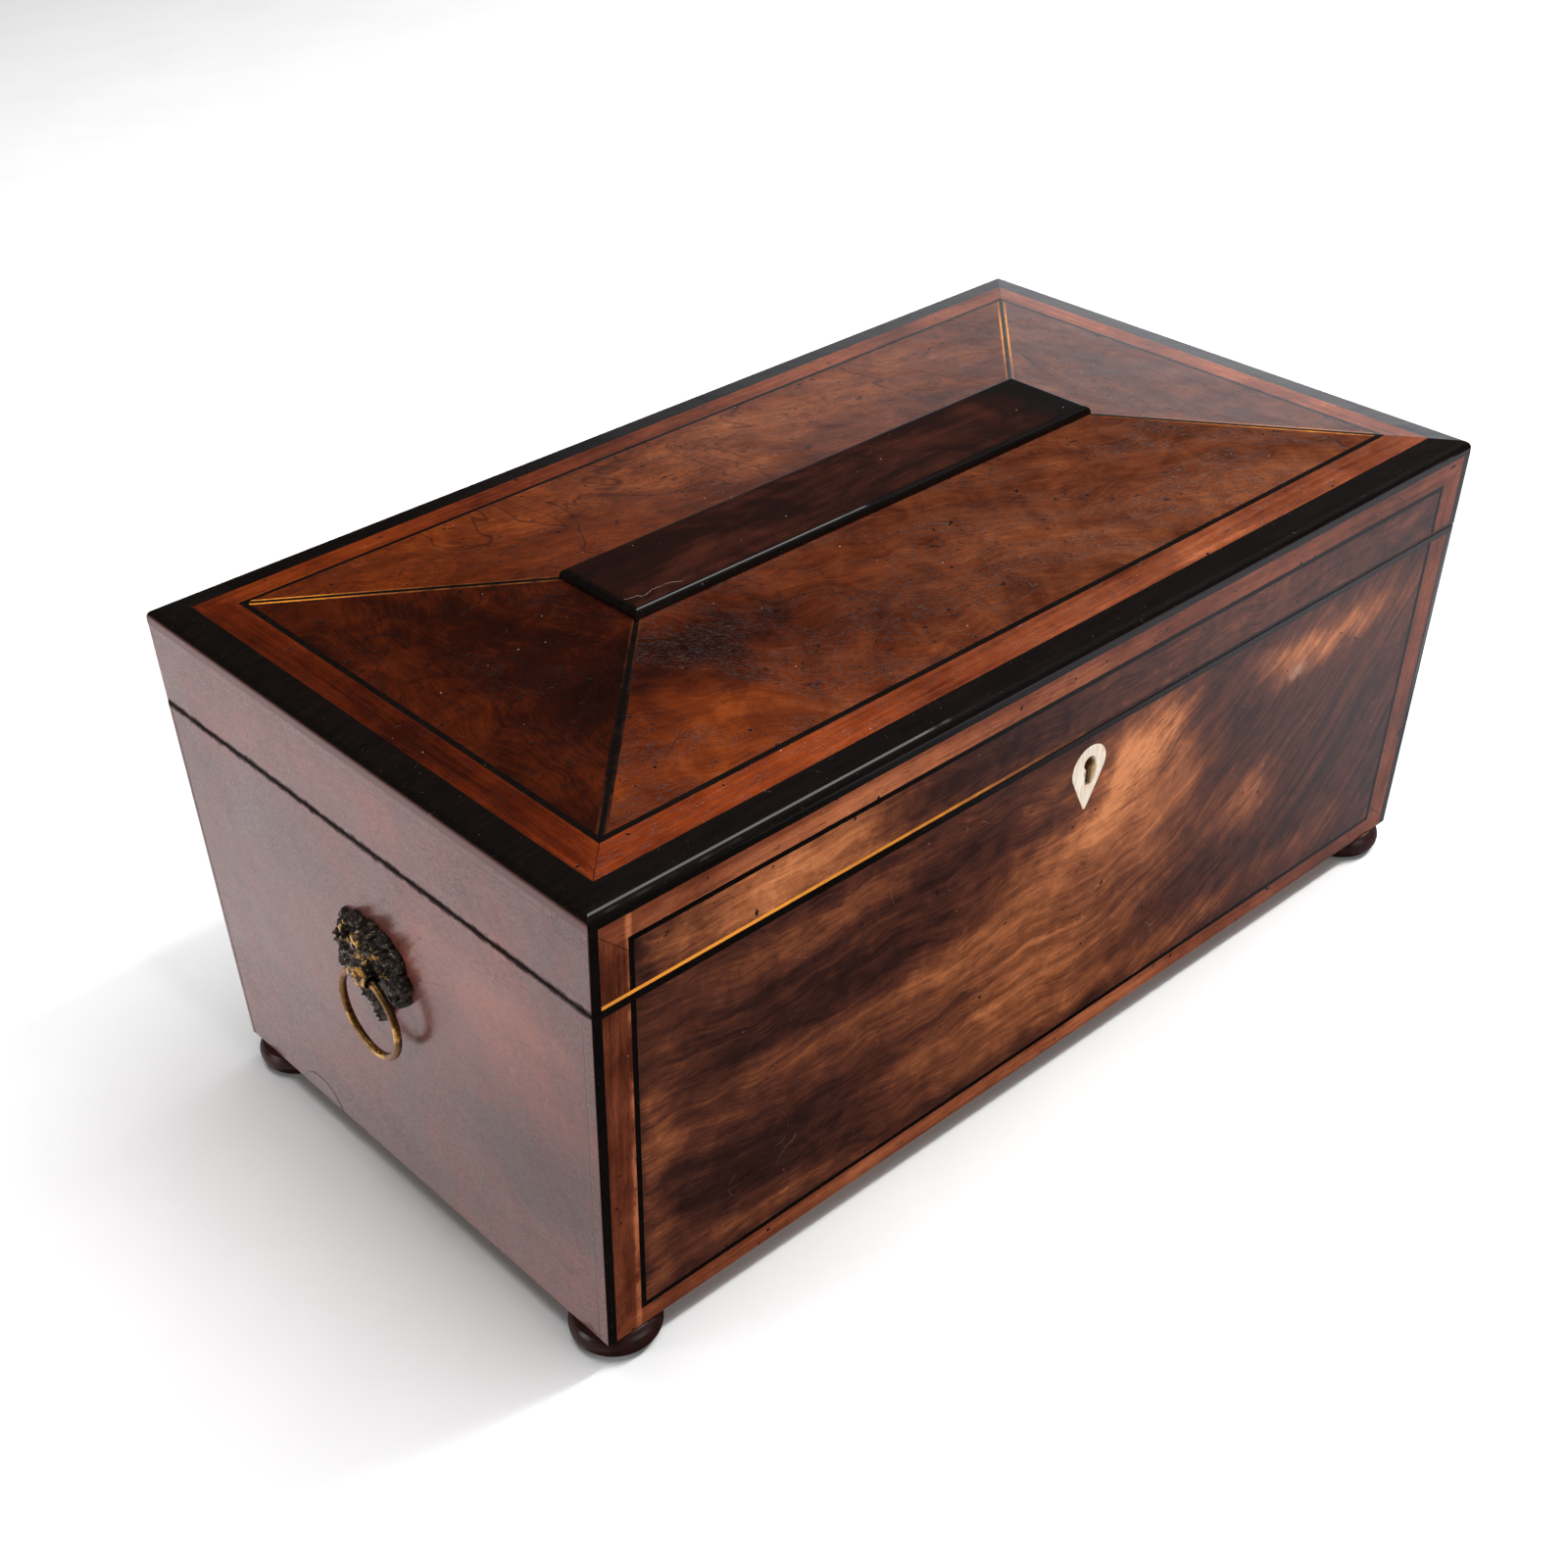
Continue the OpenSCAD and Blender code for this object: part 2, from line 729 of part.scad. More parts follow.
module mixing_bowl() {
    color("#d7e2e4")
        translate([0, 0, z_floor])
            rotate_extrude($fn = 96)
                polygon(concat(
                    [[0, 1.5], [bowl_foot_r - 3, 0], [bowl_foot_r, 0], [bowl_foot_r, 3],
                     [bowl_stem_r, 8]],
                    [for (a = [0:10:80])
                        [bowl_stem_r + (bowl_r - bowl_stem_r) * sin(a),
                         bowl_stem_h + bowl_deep * (1 - cos(a))]],
                    [[bowl_r, bowl_h - 1], [bowl_r - 1.2, bowl_h],
                     [bowl_r - bowl_wall + 0.4, bowl_h - 0.6]],
                    [for (a = [80:-10:0])
                        [(bowl_r - bowl_wall) * sin(a),
                         bowl_stem_h + bowl_floor_t + bowl_deep * (1 - cos(a))]]));
}

// A frustum that follows the inside of the left end of the case, k in from the canister's outside
module canister_block(z0, z1, k) {
    prism([for (p = [[0, -1], [1, -1], [1, 1], [0, 1]])
               [p[0] == 0 ? -(hx(z0) - wall - canister_fit - k) : -(divider_out + canister_fit + k),
                p[1] * (hy(z0) - wall - canister_fit - k), z0]],
          [for (p = [[0, -1], [1, -1], [1, 1], [0, 1]])
               [p[0] == 0 ? -(hx(z1) - wall - canister_fit - k) : -(divider_out + canister_fit + k),
                p[1] * (hy(z1) - wall - canister_fit - k), z1]]);
}

module canister_box() {
    color("#7b4527")
        difference() {
            canister_block(z_floor, z_canister, 0);
            canister_block(z_floor + canister_floor_t, z_canister + 1, canister_t);
        }
}

module canister_cover() {
    color("#7b4527")
        difference() {
            union() {
                canister_block(z_canister, z_canister + canister_lid_t, 0);
                canister_block(z_canister - canister_plug_t, z_canister, canister_t + plug_fit);
            }
            translate([canister_x, 0, z_canister])
                cylinder(r = knob_spigot_r, h = beyond);
        }
}

module canister_knob() {
    color("#e0d3b8")
        translate([canister_x, 0, z_canister]) {
            cylinder(r = knob_spigot_r, h = canister_lid_t);
            translate([0, 0, canister_lid_t])
                rotate_extrude()
                    polygon(concat([[0, 0], [5.2, 0], [5.2, 1], [2.4, 2.2], [2, 3.6]],
                        [for (a = [-40:20:80]) [4.9 * cos(a), knob_h - 4 + 4 * sin(a)]],
                        [[0, knob_h]]));
        }
}

module left_canister() { canister_box(); }

module left_canister_lid() { canister_cover(); }

module left_canister_knob() { canister_knob(); }

module right_canister() { mirror([1, 0, 0]) canister_box(); }

module right_canister_lid() { mirror([1, 0, 0]) canister_cover(); }

module right_canister_knob() { mirror([1, 0, 0]) canister_knob(); }

// ---- lid ----

module lid_rail(side) {
    color("#6b4128")
        difference() {
            mitred(side, slab(veneer_t, wall, z_lid, z_band));
            corner_strips(corner_square, z_lid - 1, z_band + 1);
            lock_plate_blank(z_lid - 1, plate_t + 1);
            knuckle_recess();
            leaf_recess(z_lid - 1, z_lid + leaf_t);
            hinge_screws(z_lid, 1);
        }
}

module lid_front_rail() { lid_rail(front); }

module lid_back_rail() { lid_rail(back); }

module lid_left_rail() { lid_rail(left); }

module lid_right_rail() { lid_rail(right); }

module lid_roof_boards() {
    color("#5d3a25")
        for (side = [front, back, left, right])
            roof_piece(side, [
                [-roof_half(side, board_in), board_in], [roof_half(side, board_in), board_in],
                [roof_half(side, roof_run), roof_run], [-roof_half(side, roof_run), roof_run]],
                veneer_t, veneer_t + roof_t);
}

module lid_ridge_board() {
    color("#5d3a25")
        translate([-case_l / 2 + roof_run, -case_w / 2 + roof_run, z_flat - veneer_t - roof_t])
            cube([case_l - 2 * roof_run, case_w - 2 * roof_run, roof_t + veneer_t]);
}

// A velvet-covered board glued between the rails, under the roof boards
module lid_lining() {
    z0 = z_board - lining_t;
    color("#5a1f24")
        prism([for (p = [[-1, -1], [1, -1], [1, 1], [-1, 1]])
                   [p[0] * (hx(z0) - wall), p[1] * (hy(z0) - wall), z0]],
              [for (p = [[-1, -1], [1, -1], [1, 1], [-1, 1]])
                   [p[0] * (hx(z_board) - wall), p[1] * (hy(z_board) - wall), z_board]]);
}

module lid_edge_band() {
    turn = atan(roof_rise);
    c_t = arris_r;
    c_z = z_edge + arris_r * roof_rise - arris_r / cos(turn);
    color("#14100e") {
        mitred_run(concat(
            [[wall, z_band], [0, z_band]],
            [for (a = [180:-15:105]) [c_t + arris_r * cos(a), c_z + arris_r * sin(a)]],
            [[c_t - arris_r * sin(turn), c_z + arris_r * cos(turn)],
             [wall, z_edge + wall * roof_rise]]));
        corner_edging(z_lid, z_band);
    }
}

// A strip of veneer on every side of the roof, from v0 to v1 in from the edge
module roof_ring(v0, v1) {
    for (side = [front, back, left, right])
        roof_piece(side, [
            [-roof_half(side, v0), v0], [roof_half(side, v0), v0],
            [roof_half(side, v1), v1], [-roof_half(side, v1), v1]], 0, veneer_t);
}

module roof_crossband() { color("#8a3b22") roof_ring(wall, roof_string_in); }

module roof_string() { color("#16100d") roof_ring(roof_string_in, roof_field_in); }

// Lines on both sides of each hip, from c0 to c1 along the side from the hip
module hip_lines(c0, c1) {
    for (side = [front, back, left, right], s = [-1, 1])
        roof_piece(side, [
            [s * (roof_half(side, roof_field_in) - c0), roof_field_in],
            [s * (roof_half(side, roof_field_in) - c1), roof_field_in],
            [s * (roof_half(side, roof_run) - c1), roof_run],
            [s * (roof_half(side, roof_run) - c0), roof_run]], 0, veneer_t);
}

module hip_ebony_lines() { color("#16100d") hip_lines(0, hip_cut); }

module hip_boxwood_lines() { color("#b0723a") hip_lines(hip_cut, hip_box_cut); }

module roof_veneers() {
    color("#7c4420")
        for (side = [front, back, left, right])
            roof_piece(side, [
                [-roof_half(side, roof_field_in) + hip_box_cut, roof_field_in],
                [roof_half(side, roof_field_in) - hip_box_cut, roof_field_in],
                [roof_half(side, roof_run) - hip_box_cut, roof_run],
                [-roof_half(side, roof_run) + hip_box_cut, roof_run]], 0, veneer_t);
}

module tablet() {
    color("#2c1110")
        translate([-tablet_half_l + moulding_w, -tablet_half_w + moulding_w, z_flat])
            cube([2 * (tablet_half_l - moulding_w), 2 * (tablet_half_w - moulding_w), tablet_t]);
}

// A point at the mitre of the moulding, t in from the tablet's edge
function moulding_point(side, way, t, z) =
    let (x = tablet_half_l - t, y = tablet_half_w - t)
    side == front ? [way * x, -y, z_flat + z] :
    side == back ? [way * x, y, z_flat + z] :
    side == left ? [-x, way * y, z_flat + z] : [x, way * y, z_flat + z];

// A small square step below a quarter round
module tablet_moulding() {
    rise = tablet_t - moulding_step;
    section = concat(
        [[moulding_w, 0], [0, 0]],
        [for (a = [0:15:75]) [moulding_w * (1 - cos(a)), moulding_step + rise * sin(a)]],
        [[moulding_w, tablet_t]]);
    color("#0f0c0b")
        for (side = [front, back, left, right])
            prism([for (p = section) moulding_point(side, -1, p[0], p[1])],
                  [for (p = section) moulding_point(side, 1, p[0], p[1])]);
}

module lid_front_veneer() {
    color("#6f3b20") front_field(z_bead, z_top - string_w, field_in, 0, veneer_t);
}

module lid_front_string() {
    color("#16100d") front_band(z_bead, z_top, z_top - string_w, string_in, field_in);
}

module lid_front_crossband() {
    color("#7d3320") front_band(z_bead, z_band, z_top, corner_w, string_in);
}

module lid_front_bead() { color("#b0723a") front_field(z_lid, z_bead, corner_w, 0, veneer_t); }

module lid_side_veneers() {
    color("#63372b") {
        end_skins(z_lid, z_band);
        difference() {
            wall_piece(back, [[-hx(z_lid), z_lid], [hx(z_lid), z_lid], [hx(z_band), z_band],
                              [-hx(z_band), z_band]], 0, veneer_t);
            knuckle_recess();
        }
    }
}

front_board();
back_board();
left_board();
right_board();
bottom_board();
front_veneer();
front_string();
front_crossband();
case_edging();
end_veneers();
back_veneer();
escutcheon();
lock_case();
lock_plate();
lock_bolt();
left_divider();
right_divider();
bowl_board();
mixing_bowl();
left_canister();
left_canister_lid();
left_canister_knob();
right_canister();
right_canister_lid();
right_canister_knob();
foot_front_left();
foot_front_right();
foot_back_left();
foot_back_right();
hinge_case_leaves();
hinge_lid_leaves();
hinge_pins();
case_hinge_screws();
lid_hinge_screws();
left_mask();
right_mask();
mask_pins();
left_ring();
right_ring();
lid_front_rail();
lid_back_rail();
lid_left_rail();
lid_right_rail();
lid_roof_boards();
lid_ridge_board();
lid_lining();
lid_edge_band();
roof_crossband();
roof_string();
hip_ebony_lines();
hip_boxwood_lines();
roof_veneers();
tablet();
tablet_moulding();
lid_front_veneer();
lid_front_string();
lid_front_crossband();
lid_front_bead();
lid_side_veneers();
lock_striker();
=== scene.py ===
"""Looks and studio for the Regency tea caddy.

Objects are in metres in the caddy's own frame. The materials, the constants below and the lion masks
are in millimetres in the same frame.
"""

import math

import bmesh
import bpy
import numpy as np
from mathutils import Matrix, Vector


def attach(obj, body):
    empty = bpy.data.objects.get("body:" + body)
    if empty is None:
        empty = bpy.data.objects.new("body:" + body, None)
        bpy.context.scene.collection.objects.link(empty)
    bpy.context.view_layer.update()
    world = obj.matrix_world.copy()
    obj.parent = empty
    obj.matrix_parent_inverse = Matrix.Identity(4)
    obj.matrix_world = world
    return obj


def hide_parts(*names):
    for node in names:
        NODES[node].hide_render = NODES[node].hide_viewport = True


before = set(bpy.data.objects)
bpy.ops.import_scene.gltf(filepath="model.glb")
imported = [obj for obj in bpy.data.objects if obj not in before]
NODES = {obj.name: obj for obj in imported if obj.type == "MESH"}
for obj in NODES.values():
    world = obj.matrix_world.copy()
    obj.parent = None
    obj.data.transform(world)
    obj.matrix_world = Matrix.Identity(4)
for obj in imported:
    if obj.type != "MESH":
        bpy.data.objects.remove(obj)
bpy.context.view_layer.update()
SCENE = bpy.context.scene

HALF_L, HALF_W = 152.5, 87.75  # half the lid's length and width
JOINT_Z = 111.5  # the gap between case and lid
FOOT_H = 7.5
BASE_HALF_W, SIDE_LEAN = 78.5, 0.0734  # the front and back at the base, and how they lean out from there
END_X = 148  # past this is an end and not the back
EDGE_X, EDGE_TOP_Z = 152, 133.6  # the outer edges of the bands on the front
PORE, SCRATCH = (0.014, 0.006, 0.005), (0.5, 0.3, 0.2)  # colours


# ---------------------------------------------------------------- shader graphs


class Graph:
    """A material and short names for the nodes that are used in it. Positions are in millimetres."""

    def __init__(self, name):
        self.material = bpy.data.materials.new(name)
        self.material.use_nodes = True
        self.tree = self.material.node_tree
        self.shader = self.tree.nodes["Principled BSDF"]
        coordinates = self.add("ShaderNodeTexCoord").outputs["Object"]
        self.place = self.vector("MULTIPLY", coordinates, (1000, 1000, 1000))
        parts = self.add("ShaderNodeSeparateXYZ", self.place)
        self.x, self.y, self.z = parts.outputs

    def add(self, kind, *inputs, **settings):
        node = self.tree.nodes.new(kind)
        for key, value in settings.items():
            setattr(node, key, value)
        for socket, value in zip(node.inputs, inputs):
            self.give(socket, value)
        return node

    def give(self, socket, value):
        if isinstance(value, bpy.types.NodeSocket):
            self.tree.links.new(value, socket)
        elif value is not None:
            if socket.type == "RGBA" and len(value) == 3:
                value = (*value, 1)
            socket.default_value = value

    def set(self, **values):
        for key, value in values.items():
            self.give(self.shader.inputs[key.replace("_", " ")], value)

    def math(self, operation, *values):
        return self.add("ShaderNodeMath", *values, operation=operation).outputs[0]

    def vector(self, operation, *values):
        return self.add("ShaderNodeVectorMath", *values, operation=operation).outputs[0]

    def sum(self, first, *rest):
        for value in rest:
            first = self.math("ADD", first, value)
        return first

    def most(self, first, *rest):
        for value in rest:
            first = self.math("MAXIMUM", first, value)
        return first

    def times(self, a, b):
        return self.math("MULTIPLY", a, b)

    def size(self, value):
        return self.math("ABSOLUTE", value)

    def apart(self, a, b):
        return self.size(self.math("SUBTRACT", a, b))

    def join(self, x, y, z):
        return self.add("ShaderNodeCombineXYZ", x, y, z).outputs[0]

    def noise(self, at, scale, detail=3.0, rough=0.55, warp=0.0):
        node = self.add("ShaderNodeTexNoise")
        self.give(node.inputs["Vector"], at)
        settings = {"Scale": scale, "Detail": detail, "Roughness": rough, "Distortion": warp}
        for key, value in settings.items():
            node.inputs[key].default_value = value
        return node.outputs["Fac"]

    def cells(self, at, scale):
        """How far each point is from the middle of its cell."""
        node = self.add("ShaderNodeTexVoronoi")
        self.give(node.inputs["Vector"], at)
        node.inputs["Scale"].default_value = scale
        return node.outputs["Distance"]

    def stretch(self, along, across, other, rates):
        """Coordinates for grain: slow along it and quick across it."""
        return self.join(*(self.times(value, rate) for value, rate in zip((along, across, other), rates)))

    def range(self, value, low, high, out_low=0.0, out_high=1.0):
        node = self.add("ShaderNodeMapRange", interpolation_type="SMOOTHSTEP")
        for key, number in zip(range(5), (value, low, high, out_low, out_high)):
            self.give(node.inputs[key], number)
        return node.outputs[0]

    def ramp(self, value, stops):
        node = self.add("ShaderNodeValToRGB", value)
        elements = node.color_ramp.elements
        while len(elements) < len(stops):
            elements.new(0.5)
        for element, (position, colour) in zip(elements, stops):
            element.position = position
            element.color = (*colour, 1)
        return node.outputs[0]

    def mix(self, share, a, b):
        node = self.add("ShaderNodeMix", data_type="RGBA")
        for socket, value in zip((node.inputs[0], node.inputs[6], node.inputs[7]), (share, a, b)):
            self.give(socket, value)
        return node.outputs[2]

    def choose(self, test, a, b):
        """a where test is 0 and b where it is 1."""
        node = self.add("ShaderNodeMix", data_type="FLOAT")
        for socket, value in zip((node.inputs[0], node.inputs[2], node.inputs[3]), (test, a, b)):
            self.give(socket, value)
        return node.outputs[0]

    def blob(self, u, v, centre, reach, strength):
        """A soft patch, lighter or darker, where the real figure has one."""
        du = self.times(self.math("SUBTRACT", u, centre[0]), 1 / reach[0])
        dv = self.times(self.math("SUBTRACT", v, centre[1]), 1 / reach[1])
        far = self.math("ADD", self.times(du, du), self.times(dv, dv))
        return self.times(self.math("POWER", 0.37, far), strength)

    def ragged(self, u, v, reach=(40, 24), scale=0.04):
        """Two coordinates pushed about, so that the patches laid out in them get broken edges."""
        shifted = self.vector("ADD", self.place, (210, 75, 130))
        push = self.math("SUBTRACT", self.noise(self.place, scale, 5, 0.66), 0.5)
        lift = self.math("SUBTRACT", self.noise(shifted, scale, 5, 0.66), 0.5)
        return self.sum(u, self.times(push, reach[0])), self.sum(v, self.times(lift, reach[1]))

    def patches(self, u, v, rows):
        """The sum of soft patches, each (centre u, centre v, reach u, reach v, strength)."""
        return self.sum(*(self.blob(u, v, row[:2], row[2:4], row[4]) for row in rows))

    def centred(self, value, amount):
        """Noise about zero."""
        return self.times(self.math("SUBTRACT", value, 0.5), amount)

    def bump(self, height, depth, before=None):
        """depth is the height in millimetres that a value of 1 stands for."""
        node = self.add("ShaderNodeBump")
        node.inputs["Strength"].default_value = 1.0
        node.inputs["Distance"].default_value = depth / 1000
        self.give(node.inputs["Height"], height)
        self.give(node.inputs["Normal"], before)
        return node.outputs[0]


def specks(g, colour, amount=0.35):
    """Small pale flecks of dust and lost polish."""
    small = g.range(g.cells(g.place, 0.3), 0.035, 0.07, 1, 0)
    few = g.range(g.noise(g.place, 0.9, 1), 0.60, 0.64)
    return g.mix(g.times(g.times(small, few), amount), colour, (0.8, 0.68, 0.55))


def scratches(g, density=0.5):
    """Fine curved scratches, 1 on the line and 0 off it."""
    swirl = g.noise(g.place, 0.045, 1, 0.4)
    line = g.apart(swirl, 0.5)
    broken = g.range(g.noise(g.place, 0.12, 2), 0.62 - 0.1 * density, 0.66 - 0.1 * density)
    return g.times(g.range(line, 0.0, 0.0012, 1, 0), broken)


def polish(g, colour, height, coat, rough=0.42, gloss=0.14):
    """French polish over the wood: a soft base, a clear coat and slight unevenness in both."""
    uneven = g.noise(g.place, 0.035, 4, 0.6)
    dull = g.range(g.noise(g.place, 0.5, 3), 0.35, 0.75)
    g.set(Base_Color=colour)
    g.set(Roughness=g.sum(rough, g.times(uneven, 0.12), g.times(dull, 0.06)))
    g.set(Coat_Weight=coat, Coat_Roughness=gloss, Coat_IOR=1.5, IOR=1.45, Specular_IOR_Level=0.02)
    ripple = g.bump(g.noise(g.place, 0.06, 2, 0.5), 0.22)
    g.set(Normal=g.bump(height, 0.06, ripple), Coat_Normal=g.bump(g.times(height, 0.6), 0.05, ripple))


FLAME = [
    (0.00, (0.012, 0.0040, 0.0032)),
    (0.22, (0.032, 0.0100, 0.0070)),
    (0.42, (0.088, 0.0240, 0.0120)),
    (0.60, (0.190, 0.0560, 0.0200)),
    (0.80, (0.385, 0.1230, 0.0430)),
    (1.00, (0.640, 0.2300, 0.0850)),
]
ROOF = [
    (0.00, (0.007, 0.0012, 0.0005)),
    (0.22, (0.019, 0.0034, 0.0011)),
    (0.42, (0.056, 0.0120, 0.0036)),
    (0.60, (0.108, 0.0270, 0.0085)),
    (0.80, (0.200, 0.0580, 0.0180)),
    (1.00, (0.360, 0.1200, 0.0420)),
]
BANDING = [
    (0.10, (0.022, 0.0036, 0.0012)),
    (0.35, (0.080, 0.0150, 0.0045)),
    (0.60, (0.190, 0.0460, 0.0170)),
    (0.90, (0.430, 0.1320, 0.0520)),
]


def pores(g, along, across, other, amount=0.5, length=3.5):
    """Short dark open pores that run with the grain."""
    at = g.stretch(along, across, other, (1 / length, 2.8, 2.8))
    fine = g.noise(at, 1.0, 2, 0.6)
    groups = g.range(g.noise(g.stretch(along, across, other, (0.02, 0.06, 0.06)), 1.0, 3), 0.36, 0.62)
    return g.times(g.range(fine, 0.56, 0.64), g.times(groups, amount))


def dents(g, low=0.735):
    """Small dark pits and knocks, 1 in the pit."""
    return g.range(g.noise(g.place, 0.35, 2, 0.5), low, low + 0.02)


def front_wood():
    """Flame veneer of the case front: its streaks sag in the middle and rise to the right."""
    g = Graph("flame_mahogany_front")
    off = g.math("ADD", g.x, 12)
    left_pull = g.times(g.math("MINIMUM", off, 0), 0.020)
    right_pull = g.times(g.math("MAXIMUM", off, 0), 0.066)
    rise = g.math("ADD", g.times(left_pull, left_pull), g.times(right_pull, right_pull))
    sway = g.centred(g.noise(g.place, 0.015, 3, 0.6), 26)
    across = g.sum(g.z, g.times(rise, -1), sway)
    streaks = g.noise(g.stretch(g.x, across, g.y, (0.012, 0.10, 0.01)), 1.0, 6, 0.66, 0.4)
    ropes = g.noise(g.stretch(g.x, across, g.y, (0.035, 0.36, 0.02)), 1.0, 4, 0.66, 0.3)
    fine = g.noise(g.stretch(g.x, across, g.y, (0.12, 1.7, 0.05)), 1.0, 3, 0.62)
    mottle = g.noise(g.place, 0.12, 5, 0.7, 0.5)
    u, v = g.ragged(g.x, g.z)
    figure = g.patches(u, v, (
        (-4, 52, 50, 19, 0.34), (-24, 32, 40, 12, 0.22), (-42, 63, 20, 8, 0.16), (20, 96, 16, 14, 0.74),
        (6, 80, 26, 9, 0.40), (-20, 70, 34, 12, 0.14), (38, 70, 18, 16, 0.22), (96, 98, 30, 8, 0.48),
        (72, 57, 13, 10, 0.34), (40, 22, 70, 6, 0.26), (-90, 100, 36, 6, 0.28), (-139, 62, 5, 28, 0.22),
        (-136, 33, 6, 12, 0.18), (-112, 20, 32, 4, 0.24), (-86, 62, 32, 8, 0.18), (-14, 98, 12, 6, 0.20),
        (-98, 84, 34, 11, -0.12), (-96, 37, 36, 13, -0.10), (60, 84, 13, 9, -0.08),
        (124, 44, 26, 20, -0.04), (130, 88, 10, 14, 0.06),
    ))
    value = g.sum(
        0.30, figure, g.centred(streaks, 0.74), g.centred(ropes, 0.50), g.centred(fine, 0.36),
        g.centred(mottle, 0.46),
    )
    open_pores = pores(g, g.x, across, g.y, 0.6)
    pits = dents(g)
    colour = g.ramp(value, FLAME)
    colour = g.mix(g.blob(u, v, (89, 93), (4, 2), 0.45), colour, (0.62, 0.34, 0.22))
    colour = g.mix(g.most(open_pores, pits), colour, PORE)
    marks = scratches(g)
    colour = g.mix(g.times(marks, 0.35), colour, SCRATCH)
    colour = specks(g, colour)
    polish(g, colour, g.times(g.sum(open_pores, pits, marks), -1), 0.5)
    return g.material


def lid_front_wood():
    """The strip of flame veneer on the lid's front: bright at the left, dark past it."""
    g = Graph("flame_mahogany_lid_front")
    sway = g.centred(g.noise(g.place, 0.03, 2), 12)
    across = g.math("ADD", g.z, sway)
    streaks = g.noise(g.stretch(g.x, across, g.y, (0.014, 0.20, 0.01)), 1.0, 6, 0.66, 0.4)
    fine = g.noise(g.stretch(g.x, across, g.y, (0.10, 1.6, 0.05)), 1.0, 3, 0.62)
    mottle = g.noise(g.place, 0.13, 5, 0.7, 0.5)
    u, v = g.ragged(g.x, g.z, (36, 10), 0.06)
    figure = g.patches(u, v, (
        (-96, 119, 36, 16, 0.50), (-34, 121, 30, 14, -0.10), (-146, 119, 7, 14, -0.22),
        (60, 120, 60, 12, 0.08),
    ))
    value = g.sum(0.32, figure, g.centred(streaks, 0.66), g.centred(fine, 0.40), g.centred(mottle, 0.62))
    open_pores = pores(g, g.x, across, g.y, 0.7)
    pits = dents(g, 0.72)
    colour = g.mix(g.most(open_pores, pits), g.ramp(value, FLAME), PORE)
    colour = specks(g, colour)
    polish(g, colour, g.times(g.sum(open_pores, pits), -1), 0.5)
    return g.material


def redder_left(g, colour):
    """The roof's colour is made deeper and redder towards the left; right of the middle it is unchanged."""
    fade = g.range(g.x, -110, 30, 0.8, 0)
    return g.mix(fade, colour, g.vector("MULTIPLY", colour, (0.92, 0.52, 0.10)))


def mitre(g, to_side, to_end):
    """1 where the end is nearer than the side and 0 elsewhere, and the line where the two meet."""
    apart = g.math("SUBTRACT", to_side, to_end)
    return g.math("GREATER_THAN", apart, 0), g.range(g.size(apart), 0.05, 0.30, 0.8, 0)


def end_slope(g):
    """The roof's two end slopes and their mitres."""
    to_end = g.math("SUBTRACT", HALF_L, g.size(g.x))
    to_side = g.math("SUBTRACT", HALF_W, g.size(g.y))
    return mitre(g, to_side, to_end)


def front_upright(g):
    """The upright runs of the bands on the front and their mitres."""
    to_end = g.math("SUBTRACT", EDGE_X, g.size(g.x))
    to_run = g.math("MINIMUM", g.math("SUBTRACT", EDGE_TOP_Z, g.z), g.math("SUBTRACT", g.z, FOOT_H))
    return mitre(g, to_run, to_end)


def roof_wood():
    g = Graph("flame_mahogany_roof")
    ends = end_slope(g)[0]
    left_end = g.times(ends, g.math("LESS_THAN", g.x, 0))
    bend = g.centred(g.noise(g.place, 0.014, 3, 0.55), 56)
    slant = g.sum(g.times(g.x, 0.42), g.y, bend)
    along = g.choose(ends, g.math("SUBTRACT", g.x, g.times(g.y, 0.42)), g.y)
    across = g.choose(ends, slant, g.math("ADD", g.x, bend))
    streaks = g.noise(g.stretch(along, across, g.z, (0.013, 0.05, 0.01)), 1.0, 6, 0.64, 0.6)
    fine = g.noise(g.stretch(along, across, g.z, (0.09, 1.1, 0.05)), 1.0, 3, 0.65)
    mottle = g.noise(g.place, 0.085, 6, 0.7, 0.5)
    u, v = g.ragged(g.x, g.y)
    figure = g.patches(u, v, (
        (-86, -62, 34, 13, 0.14), (-78, -30, 36, 11, -0.36), (-30, -48, 34, 14, -0.06),
        (62, -56, 46, 18, 0.10), (10, -30, 50, 8, -0.08), (-70, 58, 34, 18, 0.16), (0, 56, 40, 20, 0.14),
        (70, 56, 30, 20, 0.10), (-128, -20, 12, 34, 0.10), (-104, 16, 16, 24, -0.10),
    ))
    value = g.sum(
        0.50, figure, g.times(left_end, -0.22), g.times(g.math("SUBTRACT", ends, left_end), -0.04),
        g.centred(streaks, 0.62), g.centred(fine, 0.34), g.centred(mottle, 0.76),
    )
    line = g.noise(g.stretch(g.x, g.y, g.z, (0.030, 0.009, 0.01)), 1.0, 3, 0.5, 0.8)
    dark_line = g.times(
        g.range(g.apart(line, 0.5), 0.0, 0.010, 1, 0),
        g.range(g.y, 5, 30, 0.0, 0.6),
    )
    burn = g.range(g.noise(g.place, 0.24, 5, 0.72), 0.605, 0.66, 0, 0.7)
    open_pores = pores(g, along, across, g.z, 0.8, 2.4)
    dark = g.most(open_pores, burn, dark_line, dents(g, 0.72))
    colour = g.mix(dark, redder_left(g, g.ramp(value, ROOF)), (0.007, 0.0025, 0.0018))
    marks = scratches(g, 0.2)
    colour = g.mix(g.times(marks, 0.2), colour, SCRATCH)
    colour = specks(g, colour, 0.5)
    polish(g, colour, g.times(g.math("ADD", dark, marks), -1), 0.5, gloss=0.17)
    return g.material


